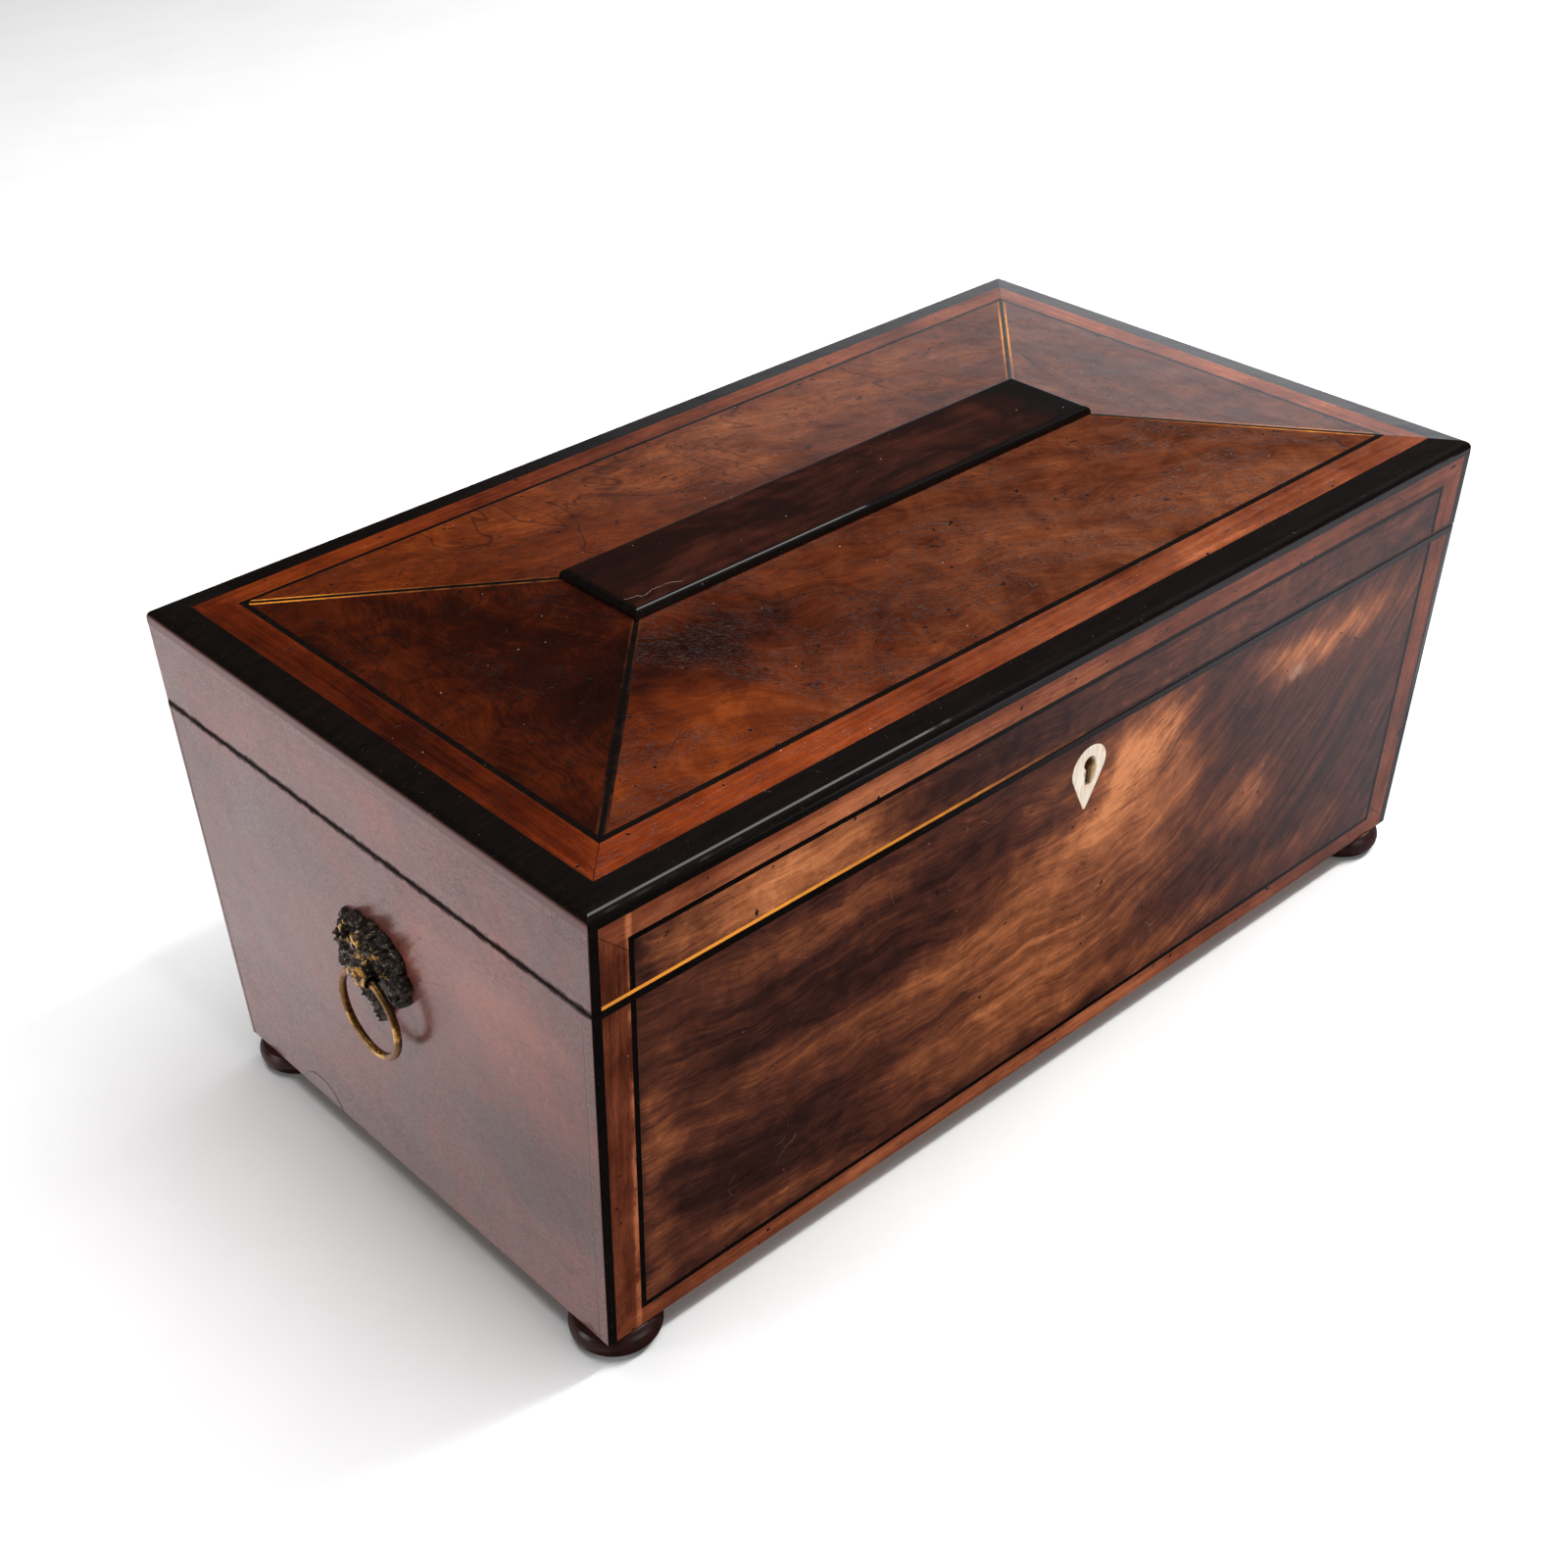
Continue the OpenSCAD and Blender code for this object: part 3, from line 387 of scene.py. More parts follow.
def plain_wood(name):
    """The ends and back: red-brown, faded, with an old polish that has gone milky."""
    g = Graph(name)
    along = g.choose(g.math("GREATER_THAN", g.size(g.x), END_X), g.x, g.y)
    across = g.math("ADD", g.z, g.centred(g.noise(g.place, 0.02, 3), 16))
    streaks = g.noise(g.stretch(along, across, g.x, (0.012, 0.055, 0.012)), 1.0, 6, 0.66, 0.5)
    fine = g.noise(g.stretch(along, across, g.x, (0.5, 1.5, 0.5)), 1.0, 3, 0.7)
    cloud = g.noise(g.place, 0.030, 5, 0.62, 0.6)
    u, v = g.ragged(g.y, g.z, (34, 24))
    figure = g.patches(u, v, (
        (-46, 94, 38, 14, 0.30), (-56, 50, 24, 14, -0.26), (10, 14, 70, 10, -0.16),
        (40, 60, 30, 20, 0.06), (76, 100, 10, 14, -0.16), (-72, 112, 10, 24, -0.10), (0, 121, 60, 8, 0.14),
    ))
    value = g.sum(0.50, figure, g.centred(streaks, 0.55), g.centred(cloud, 0.95), g.centred(fine, 0.75))
    colour = g.ramp(value, [
        (0.10, (0.026, 0.0070, 0.0060)),
        (0.40, (0.070, 0.0190, 0.0150)),
        (0.65, (0.130, 0.0360, 0.0260)),
        (0.95, (0.230, 0.0700, 0.0460)),
    ])
    open_pores = pores(g, along, across, g.x, 0.5, 1.6)
    pits = dents(g)
    marks = scratches(g)
    # The joint in the veneer beside the front corner, and the one below the lid's edge.
    from_edge = g.sum(g.y, BASE_HALF_W - FOOT_H * SIDE_LEAN - 3.2, g.times(g.z, SIDE_LEAN))
    below_lid = g.math("LESS_THAN", g.z, JOINT_Z - 2.5)
    seam = g.times(g.range(g.size(from_edge), 0.05, 0.22, 1, 0), below_lid)
    from_top = g.apart(g.sum(g.z, g.centred(cloud, 1.5)), EDGE_TOP_Z - 2)
    top_seam = g.range(from_top, 0.05, 0.2, 0.8, 0)
    # A dark band up to 1.7 mm either side of the lid joint, with less polish in it: partly dirt, partly
    # painted shade of the gap between lid and case.
    from_joint = g.apart(g.z, JOINT_Z)
    ragged_joint = g.sum(from_joint, g.centred(g.noise(g.place, 0.3, 4, 0.7), 2.4))
    darkening = g.range(ragged_joint, 0.5, 1.7, 1, 0)
    # A chip in the lid's front corner, and a round loss of veneer at the foot, on the left end only.
    corner = g.blob(g.y, g.z, (-81, 131), (6, 3.4), 1.0)
    chip = g.range(g.sum(corner, g.centred(g.noise(g.place, 0.4, 4, 0.7), 1.1)), 0.42, 0.5)
    loss_y = g.times(g.math("SUBTRACT", g.y, 42.5), 1 / 9.5)
    loss_z = g.times(g.math("SUBTRACT", g.z, 6.5), 1 / 7.5)
    loss = g.math("SQRT", g.math("ADD", g.times(loss_y, loss_y), g.times(loss_z, loss_z)))
    lost = g.range(loss, 0.93, 1.0, 1, 0)
    loss_line = g.times(g.range(loss, 0.86, 0.94), lost)
    left_only = g.math("LESS_THAN", g.x, 0)
    lost, loss_line, chip = (g.times(mark, left_only) for mark in (lost, loss_line, chip))
    dark = g.most(open_pores, g.times(pits, 0.9), seam, top_seam, g.times(marks, 0.7), darkening, loss_line)
    colour = g.mix(g.times(lost, 0.5), colour, (0.075, 0.036, 0.036))
    colour = g.mix(g.times(chip, 0.8), colour, (0.060, 0.014, 0.008))
    colour = g.mix(dark, colour, (0.016, 0.008, 0.008))
    sunk = g.sum(g.times(lost, 3), g.times(chip, 2), dark)
    gritty = g.noise(g.place, 1.5, 3, 0.7)
    coat = g.sum(0.95, g.times(darkening, -0.9), g.centred(gritty, -1.0), g.centred(cloud, -0.5))
    polish(g, colour, g.sum(g.times(fine, 0.7), g.times(sunk, -1)), coat, rough=0.5, gloss=0.2)
    return g.material


def banding(name, on_roof=False):
    """Red-brown banding: its grain runs along each run, as on the real one."""
    g = Graph(name)
    upright, joint_line = end_slope(g) if on_roof else front_upright(g)
    if on_roof:
        along, across = g.choose(upright, g.x, g.y), g.choose(upright, g.y, g.x)
    else:
        along, across = g.choose(upright, g.x, g.z), g.choose(upright, g.z, g.x)
    lines = g.noise(g.stretch(along, across, g.z, (0.02, 0.55, 0.02)), 1.0, 5, 0.68, 0.2)
    broad = g.noise(g.place, 0.035, 5, 0.66)
    fine = g.noise(g.stretch(along, across, g.z, (0.15, 2.4, 0.1)), 1.0, 2, 0.6)
    if on_roof:
        place = g.patches(g.x, g.y, (
            (-141, 0, 7, 74, -0.34), (0, -78, 130, 7, 0.10), (60, 78, 90, 7, 0.04),
            (141, 0, 7, 70, 0.10),
        ))
    else:
        place = g.patches(g.x, g.z, (
            (-146, 60, 6, 60, -0.06), (-90, 129, 50, 5, 0.36), (-10, 129, 70, 5, 0.16),
            (-60, 10, 90, 4, 0.22), (40, 10, 60, 4, 0.16), (-146, 124, 6, 10, -0.16), (146, 90, 6, 50, 0.04),
        ))
        edge = g.range(g.size(g.math("ADD", g.x, 142.2)), 0.2, 1.3, 0.34, 0)
        place = g.sum(place, g.times(edge, g.range(broad, 0.42, 0.56)))
    value = g.sum(0.46, place, g.centred(lines, 0.62), g.centred(broad, 0.85), g.centred(fine, 0.32))
    open_pores = g.times(g.range(fine, 0.57, 0.64), 0.6)
    dark = g.most(open_pores, joint_line, dents(g, 0.72))
    colour = g.ramp(value, BANDING)
    if on_roof:
        colour = redder_left(g, colour)
    colour = g.mix(dark, colour, (0.012, 0.004, 0.003))
    colour = specks(g, colour, 0.4)
    polish(g, colour, g.times(dark, -1), 0.5)
    return g.material


def ebony(name, nicks=0.6, coat=0.6):
    g = Graph(name)
    grain = g.noise(g.stretch(g.x, g.y, g.z, (0.06, 0.5, 0.5)), 1.0, 4, 0.7)
    colour = g.ramp(grain, [(0.3, (0.0020, 0.0012, 0.0010)), (0.7, (0.0055, 0.0034, 0.0027))])
    side = g.range(g.size(g.x), EDGE_X + 0.15, EDGE_X + 0.4, 0, 0.8)
    colour = g.mix(side, colour, (0.11, 0.044, 0.038))
    lost = g.range(g.noise(g.place, 0.28, 5, 0.75), 0.66, 0.72, 0, nicks)
    colour = g.mix(lost, colour, (0.035, 0.016, 0.011))
    dust = g.range(g.noise(g.place, 2.2, 1), 0.78, 0.8, 0, 0.2)
    colour = g.mix(dust, colour, (0.5, 0.45, 0.4))
    polish(g, colour, g.times(lost, -1), coat, rough=0.38, gloss=0.06)
    return g.material


def boxwood(name, patches, base=0.4):
    """Thin pale lines, bright where they are rubbed and dark where they are dirty; where a line is lost, its
    near black is painted shade of the empty gap.
    """
    g = Graph(name)
    u, v = g.ragged(g.x, g.y, (14, 8), 0.09)
    value = g.sum(base, g.patches(u, v, patches), g.centred(g.noise(g.place, 0.25, 5, 0.72), 0.4))
    colour = g.ramp(value, [
        (0.20, (0.004, 0.0022, 0.0018)),
        (0.36, (0.050, 0.0130, 0.0050)),
        (0.55, (0.240, 0.0750, 0.0180)),
        (0.85, (0.800, 0.2900, 0.0300)),
    ])
    polish(g, colour, g.times(value, 0.2), 0.4)
    return g.material


def tablet_wood():
    g = Graph("dark_tablet")
    cloud = g.noise(g.stretch(g.x, g.y, g.z, (0.03, 0.05, 0.02)), 1.0, 6, 0.66, 0.8)
    streaks = g.noise(g.stretch(g.x, g.y, g.z, (0.02, 0.30, 0.02)), 1.0, 5, 0.64)
    u, v = g.ragged(g.x, g.y, (16, 12), 0.07)
    figure = g.patches(u, v, ((74, 0, 13, 40, -0.50), (57, 4, 9, 14, 0.26), (-5, 0, 34, 16, 0.10)))
    value = g.sum(0.45, figure, g.centred(cloud, 1.3), g.centred(streaks, 0.6))
    colour = g.ramp(value, [
        (0.10, (0.0032, 0.0022, 0.0020)),
        (0.45, (0.0120, 0.0028, 0.0016)),
        (0.75, (0.0420, 0.0100, 0.0055)),
        (1.00, (0.1000, 0.0280, 0.0120)),
    ])
    wander = g.centred(g.noise(g.place, 0.12, 3), 9)
    crack_at = g.sum(g.y, 9.5, g.times(g.math("ADD", g.x, 70), 0.12), wander)
    crack = g.times(
        g.range(g.size(crack_at), 0.05, 0.2, 1, 0),
        g.range(g.size(g.math("ADD", g.x, 70)), 7, 9, 1, 0),
    )
    colour = g.mix(g.times(crack, 0.5), colour, (0.30, 0.20, 0.17))
    colour = specks(g, colour, 0.4)
    polish(g, colour, g.times(crack, -1), 0.6, gloss=0.07)
    return g.material


def inner_wood(name, stops, slant=0.0):
    """Carcass and fitted pieces: plain straight-grained wood under a thin polish."""
    g = Graph(name)
    at = g.math("ADD", g.x, g.times(g.z, slant))
    across = g.math("ADD", g.y, g.z)
    streaks = g.noise(g.stretch(at, across, g.z, (0.008, 0.09, 0.03)), 1.0, 5, 0.62, 0.4)
    fine = g.noise(g.stretch(at, across, g.z, (0.03, 0.9, 0.2)), 1.0, 3, 0.65)
    value = g.sum(g.times(streaks, 0.75), g.times(fine, 0.25))
    open_pores = pores(g, at, across, g.z, 0.45)
    colour = g.mix(open_pores, g.ramp(value, stops), (0.03, 0.012, 0.008))
    polish(g, colour, g.times(open_pores, -1), 0.25, rough=0.5, gloss=0.25)
    return g.material


def foot_wood():
    g = Graph("turned_feet")
    streaks = g.noise(g.stretch(g.x, g.y, g.z, (0.2, 0.2, 0.05)), 1.0, 4, 0.6)
    colour = g.ramp(streaks, [(0.3, (0.010, 0.0036, 0.0034)), (0.7, (0.030, 0.0090, 0.0072))])
    rubbed = g.range(g.z, 0.3, 2.0, 0.5, 0)
    colour = g.mix(rubbed, colour, (0.02, 0.01, 0.008))
    turning = g.math("SINE", g.times(g.z, 9))
    polish(g, colour, g.times(turning, 0.12), 0.25, gloss=0.3)
    return g.material


def bone():
    g = Graph("bone")
    lines = g.noise(g.stretch(g.z, g.x, g.y, (0.12, 1.6, 0.3)), 1.0, 4, 0.6)
    colour = g.ramp(lines, [(0.3, (0.66, 0.52, 0.38)), (0.6, (0.86, 0.76, 0.64)), (0.8, (0.92, 0.86, 0.78))])
    warm = g.range(g.noise(g.place, 0.22, 4, 0.65), 0.5, 0.75, 0, 0.6)
    colour = g.mix(warm, colour, (0.66, 0.40, 0.18))
    # The escutcheon's stain beside the keyhole; the knobs are further back.
    stained = g.blob(g.x, g.z, (2.0, 99.1), (2.7, 5.4), 1.3)
    stained = g.times(stained, g.math("LESS_THAN", g.y, -70))
    stain = g.range(g.sum(stained, g.centred(g.noise(g.place, 0.6, 4, 0.7), 0.9)), 0.55, 0.95, 0, 0.85)
    colour = g.mix(stain, colour, (0.30, 0.17, 0.045))
    # Dark patches of dirt.
    darkening = g.range(g.noise(g.place, 0.4, 4, 0.7), 0.62, 0.72, 0, 0.7)
    colour = g.mix(darkening, colour, (0.16, 0.08, 0.04))
    g.set(Base_Color=colour, Roughness=g.sum(0.32, g.times(lines, 0.2)), IOR=1.54)
    g.set(Subsurface_Weight=0.06, Subsurface_Scale=0.002)
    g.set(Normal=g.bump(g.math("SUBTRACT", g.times(lines, 0.4), darkening), 0.06))
    return g.material


def metal(name, bright, tarnish, dark, share=0.5, rough=0.3, relief=0.04):
    """Brass, bronze or steel: bright where it is rubbed, brown or black where it isn't."""
    g = Graph(name)
    film = g.range(g.noise(g.place, 0.16, 5, 0.65), 0.58 - 0.3 * share, 0.72 - 0.3 * share)
    spots = g.range(g.noise(g.place, 0.9, 4, 0.7), 0.55, 0.7)
    colour = g.mix(film, bright, tarnish)
    colour = g.mix(g.times(spots, 0.7), colour, dark)
    g.set(Base_Color=colour, Metallic=g.range(spots, 0, 1, 1.0, 0.75))
    g.set(Roughness=g.sum(rough, g.times(film, 0.14), g.times(spots, 0.16)))
    fine = g.noise(g.place, 1.6, 3)
    g.set(Normal=g.bump(g.math("SUBTRACT", g.times(fine, 0.5), spots), relief))
    return g.material


def mask_metal():
    """Old bronze gilding that is worn off except on the raised nose, brow and cheeks."""
    g = Graph("dark_bronze")
    spots = g.noise(g.place, 0.9, 5, 0.72)
    out = g.math("SUBTRACT", g.size(g.x), EDGE_X)
    raised = g.range(g.math("ADD", out, g.centred(spots, 7)), 3.9, 5.2)
    patchy = g.range(g.noise(g.place, 0.42, 4, 0.7), 0.48, 0.56)
    dark = g.ramp(spots, [
        (0.42, (0.010, 0.008, 0.006)),
        (0.58, (0.036, 0.028, 0.020)),
        (0.70, (0.46, 0.39, 0.29)),
    ])
    gilt = g.ramp(spots, [(0.35, (0.24, 0.10, 0.018)), (0.7, (0.85, 0.50, 0.12))])
    colour = g.mix(g.times(raised, g.times(patchy, 0.9)), dark, gilt)
    g.set(Base_Color=colour, Metallic=g.range(spots, 0.3, 0.7, 0.6, 1.0))
    g.set(Roughness=g.range(spots, 0.35, 0.62, 0.46, 0.10))
    g.set(Normal=g.bump(g.noise(g.place, 2.0, 4, 0.7), 0.3))
    return g.material


def glass():
    g = Graph("glass")
    seeds = g.noise(g.place, 0.25, 2)
    tint = g.mix(seeds, (0.93, 0.97, 0.96), (0.99, 1.0, 0.99))
    g.set(Base_Color=tint, Roughness=g.times(seeds, 0.05), IOR=1.5, Transmission_Weight=1.0)
    g.set(Normal=g.bump(seeds, 0.15))
    return g.material


def velvet():
    g = Graph("velvet")
    pile = g.noise(g.place, 3.0, 3, 0.6)
    brushed = g.noise(g.place, 0.03, 4, 0.6)
    value = g.math("ADD", g.times(pile, 0.4), g.times(brushed, 0.6))
    g.set(Base_Color=g.ramp(value, [(0.3, (0.018, 0.030, 0.020)), (0.7, (0.055, 0.085, 0.055))]))
    g.set(Roughness=g.sum(0.8, g.times(pile, 0.2)), Sheen_Weight=0.6, Sheen_Roughness=0.4)
    g.set(Normal=g.bump(pile, 0.3))
    return g.material


CARCASS = [(0.3, (0.12, 0.045, 0.022)), (0.55, (0.23, 0.085, 0.038)), (0.75, (0.34, 0.14, 0.06))]
FITTED = [(0.3, (0.10, 0.030, 0.014)), (0.55, (0.20, 0.062, 0.025)), (0.75, (0.31, 0.11, 0.045))]

carcass, fitted = inner_wood("carcass_mahogany", CARCASS), inner_wood("fitted_mahogany", FITTED, 0.1)
plain = plain_wood("plain_mahogany")
black, black_line = ebony("ebony_band"), ebony("ebony_line", 0.25, 0.4)
brass = metal("brass", (0.78, 0.55, 0.24), (0.45, 0.28, 0.11), (0.12, 0.07, 0.03), 0.4, 0.26)
old_brass = metal(
    "old_brass", (0.56, 0.33, 0.085), (0.16, 0.085, 0.032), (0.022, 0.013, 0.007), 0.66, 0.26, 0.1,
)
steel = metal("steel", (0.52, 0.51, 0.49), (0.30, 0.28, 0.26), (0.10, 0.07, 0.05), 0.4, 0.3)
white_bone, bronze = bone(), mask_metal()

FINISH = {
    "front_veneer": front_wood(),
    "lid_front_veneer": lid_front_wood(),
    "roof_veneers": roof_wood(),
    "roof_crossband": banding("banding_roof", on_roof=True),
    # The bead is bright at the left; to the right it is painted near black, as painted shade of the gap where
    # the bead is lost.
    "lid_front_bead": boxwood("boxwood_bead", (
        (-120, -88, 56, 30, 0.50), (-44, -88, 34, 30, 0.22), (70, -88, 80, 30, -0.20),
    )),
    "hip_boxwood_lines": boxwood("boxwood_hips", (
        (-128, 64, 22, 22, 0.34), (-106, -46, 40, 40, -0.20), (118, -54, 30, 30, 0.22),
        (112, 46, 34, 34, 0.28),
    )),
    "tablet": tablet_wood(),
    "escutcheon": white_bone,
    "mixing_bowl": glass(),
    "lid_lining": velvet(),
}
for shared, names in (
    (plain, ("end_veneers", "back_veneer", "lid_side_veneers")),
    (banding("banding_front"), ("front_crossband", "lid_front_crossband")),
    (black, ("case_edging", "lid_edge_band", "tablet_moulding")),
    (black_line, ("front_string", "roof_string", "lid_front_string", "hip_ebony_lines")),
    (old_brass, ("left_ring", "right_ring")),
    (bronze, ("left_mask", "right_mask", "mask_pins")),
    (steel, ("lock_bolt", "hinge_pins")),
    (foot_wood(), ("foot_front_left", "foot_front_right", "foot_back_left", "foot_back_right")),
):
    FINISH.update(dict.fromkeys(names, shared))
for node in NODES:
    if node in FINISH:
        continue
    if node.endswith("knob"):
        FINISH[node] = white_bone
    elif node.startswith(("lock_", "hinge_")) or node.endswith("screws"):
        FINISH[node] = brass
    elif "canister" in node or "divider" in node or node == "bowl_board":
        FINISH[node] = fitted
    else:
        FINISH[node] = carcass
for node, material in FINISH.items():
    NODES[node].data.materials.clear()
    NODES[node].data.materials.append(material)


# ---------------------------------------------------------------- softened arrises


WELD_M = 2e-6
SHARP = math.radians(30)


def soften(node, width_mm):
    weld = NODES[node].modifiers.new("weld", "WELD")
    weld.merge_threshold = WELD_M
    bevel = NODES[node].modifiers.new("soft_arris", "BEVEL")
    bevel.width = width_mm / 1000
    bevel.segments = 2
    bevel.limit_method = "ANGLE"
    bevel.angle_limit = SHARP
    bevel.harden_normals = False


for node, width in (
    ("tablet", 0.25), ("case_edging", 0.35), ("end_veneers", 0.3), ("lid_side_veneers", 0.3),
    ("escutcheon", 0.2), ("left_canister_lid", 0.5), ("right_canister_lid", 0.5),
    ("left_divider", 0.4), ("right_divider", 0.4), ("bowl_board", 0.4),
):
    soften(node, width)


# ---------------------------------------------------------------- lion masks

# A point of a mask is (u, w, out): to the viewer's left, up from the ring's pivot, and out of the end.
MASK_X, MASK_Z = 152.04, 75.3  # the end's surface and the height of the ring's pivot
RING_OUT, RING_R, TUNNEL = 4.4, 11.6, 2.0  # the pivot, the ring and the radius of its way through
MID_W = 1  # the middle of the face
FACE_RINGS, FACE_STEP = 76, 0.9  # rings of points, and the degrees from one point to the next
TUFTS, TUFT_START, TUFT_STEP = 13, -24, 19  # the mane's outer locks, in degrees
PITS, PIT_REACH, PIT_DEPTH = 620, 17, 0.75  # the cast's coarse, worn surface
MASK_HIGH, MUZZLE_HIGH = 5.0, 7.15
MUZZLE_HALF, MUZZLE_COLUMNS, SKIN = 3.9, 41, 0.35
MASK_OUTLINE = [  # degrees from the viewer's left over the top, and the radius there
    (-90, 17.4), (-80, 15.2), (-66, 12.6), (-50, 12.2), (-36, 13.0), (-20, 15.4), (-4, 16.6), (10, 15.0),
    (24, 14.4), (40, 15.8), (56, 14.2), (75, 13.2), (90, 12.9), (106, 13.3), (124, 13.8), (142, 14.6),
    (160, 13.6), (178, 14.2), (196, 13.4), (206, 12.8), (216, 9.6), (230, 8.8), (246, 10.4), (260, 14.4),
    (270, 17.4),
]


def bump(u, w, centre, radius, height):
    return height * np.exp(-((u - centre[0]) ** 2 + (w - centre[1]) ** 2) / radius ** 2)


def curl(u, w, centre, radius, height):
    """A rolled tuft: a raised ring with a dot in it."""
    away = np.hypot(u - centre[0], w - centre[1])
    return height * (np.exp(-((away - radius) / 0.42) ** 2) + 0.9 * np.exp(-(away / 0.45) ** 2))


def lock(u, w, points, width, height):
    """A ridge along the points, thinner at both ends."""
    away, along = np.full(u.shape, 1e9), np.zeros(u.shape)
    steps = len(points) - 1
    for i in range(steps):
        start, run = np.array(points[i]), np.subtract(points[i + 1], points[i])
        part = np.clip(((u - start[0]) * run[0] + (w - start[1]) * run[1]) / (run @ run), 0, 1)
        gap = np.hypot(u - start[0] - part * run[0], w - start[1] - part * run[1])
        along = np.where(gap < away, (i + part) / steps, along)
        away = np.minimum(away, gap)
    return height * np.sin(np.pi * (0.18 + 0.74 * along)) * np.exp(-(away / width) ** 2)


def polar(radius, degrees):
    return radius * math.cos(math.radians(degrees)), MID_W + radius * math.sin(math.radians(degrees))


def mask_relief(u, w):
    """How far the cast face stands out of the wall, without its muzzle."""
    out = 1.7 + 0.9 * np.exp(-((u / 9) ** 2 + ((w - 2) / 9) ** 2))
    out += 1.1 * np.exp(-(((u / 6.2) ** 2 + ((w - 4.8) / 5.6) ** 2) ** 2))
    for side in (-1, 1):
        out += lock(u, w, [(side * 1.0, 6.6), (side * 3.2, 8.3), (side * 6.4, 7.2)], 0.85, 1.7)
        out += bump(u, w, (side * 3.7, 5.6), 1.6, -1.1) + bump(u, w, (side * 3.7, 5.6), 0.75, 1.3)
        out += curl(u, w, (side * 3.7, 5.6), 1.35, 0.5) + curl(u, w, (side * 8.4, 10.0), 1.5, 1.1)
        out += bump(u, w, (side * 6.0, 2.6), 1.8, 0.8)
        out += lock(u, w, [(side * 0.8, 8.6), (side * 2.6, 11.0), (side * 3.6, 13.2)], 0.7, 1.2)
        out += lock(u, w, [(side * 1.2, -4.2), (side * 2.6, -8.0), (side * 2.2, -12.5)], 0.7, 1.0)
        out += lock(u, w, [(side * 3.8, -3.6), (side * 5.6, -7.2), (side * 5.0, -11.0)], 0.7, 1.1)
        out += lock(u, w, [(side * 6.6, -2.8), (side * 8.6, -5.4), (side * 8.0, -8.6)], 0.7, 1.2)
        for low in range(6):
            hair = [(0, -7.0 - 1.6 * low), (side * (4.4 - 0.6 * low), -8.6 - 1.7 * low)]
            out += lock(u, w, hair, 0.32, 0.5)
    out += lock(u, w, [(0, 8.2), (0, 12.6)], 0.7, 1.1) + lock(u, w, [(0, -6), (0, -16)], 0.5, 0.7)
    for k in range(TUFTS):
        angle = TUFT_START + TUFT_STEP * k
        bend = 8 if k % 2 else -8
        out += lock(u, w, [polar(6.9, angle), polar(9.6, angle + bend), polar(12.6, angle - bend)], 0.85, 1.5)
        between = angle + 9
        tuft = [polar(9.6, between), polar(12.0, between + bend), polar(14.2, between)]
        out += lock(u, w, tuft, 0.7, 1.1)
        out += curl(u, w, polar(12.9, angle - 0.6 * bend), 1.05, 0.9)
    rng = np.random.default_rng(7)
    for _ in range(PITS):
        place = rng.uniform(-PIT_REACH, PIT_REACH, 2)
        out += bump(u, w, place, rng.uniform(0.24, 0.52), rng.uniform(-PIT_DEPTH, PIT_DEPTH))
    # Low where the ring hangs and turns.
    wire = np.hypot(u, w + RING_R) - RING_R
    near_wire = np.exp(-(wire / 2.1) ** 6)
    near_pivot = np.exp(-(w / 2.6) ** 8)
    out = np.where(w < 2.4, out - np.maximum(near_wire, near_pivot) * np.maximum(out - 2.9, 0), out)
    tunnel = np.exp(-(w / 2.3) ** 8) * np.exp(-(u / 4.6) ** 8)
    return np.clip(out - tunnel * np.maximum(out - 2.2, 0), 0.7, MASK_HIGH)


def muzzle_top(u, w, half):
    """The nose, lip pads and chin that bridge the ring."""
    along = np.interp(w, (-3.6, -2.9, -1.6, 3.6, 5.2, 7.4), (0.05, 0.55, 0.92, 1.0, 0.72, 0.25))
    out = 2.4 + 4.75 * along * (1 - np.abs(u / half) ** 3.2)
    out += bump(u, w, (0, 3.5), 1.1, 0.35)
    for side in (-1, 1):
        out += bump(u, w, (side * 0.95, 2.5), 0.5, -1.2) + bump(u, w, (side * 1.7, 0.8), 0.9, 0.35)
        out += lock(u, w, [(side * 0.3, -0.5), (side * 2.8, -1.1)], 0.34, -0.8)
        out += lock(u, w, [(side * 1.4, 6.6), (side * 1.2, 3.6)], 0.4, -0.5)
        out += bump(u, w, (side * 1.3, 0.2), 0.2, -0.3) + bump(u, w, (side * 2.1, 0.5), 0.2, -0.3)
    out += lock(u, w, [(0, 2.2), (0, -0.6)], 0.26, -0.8) + lock(u, w, [(-1.0, -2.4), (1.0, -2.4)], 0.4, 0.3)
    return np.minimum(out, MUZZLE_HIGH)


def closed_mesh(name, side, shells):
    """A piece from shells, each of them rings of points that are joined in turn and capped at both ends."""
    verts, faces = [], []
    for rows in shells:
        first, count = len(verts), rows.shape[1]
        for u, w, out in rows.reshape(-1, 3):
            verts.append((side * (MASK_X + out) / 1000, -side * u / 1000, (MASK_Z + w) / 1000))
        for i in range(rows.shape[0] - 1):
            for j in range(count):
                a, b = first + i * count + j, first + i * count + (j + 1) % count
                faces.append((a, b, b + count, a + count))
        last = first + (rows.shape[0] - 1) * count
        faces.append(tuple(range(first, first + count)))
        faces.append(tuple(range(last, last + count)))
    data = bpy.data.meshes.new(name)
    data.from_pydata(verts, [], faces)
    shape = bmesh.new()
    shape.from_mesh(data)
    bmesh.ops.recalc_face_normals(shape, faces=shape.faces)
    shape.to_mesh(data)
    shape.free()
    for face in data.polygons:
        face.use_smooth = len(face.vertices) == 4
    piece = bpy.data.objects.new(name, data)
    SCENE.collection.objects.link(piece)
    return piece


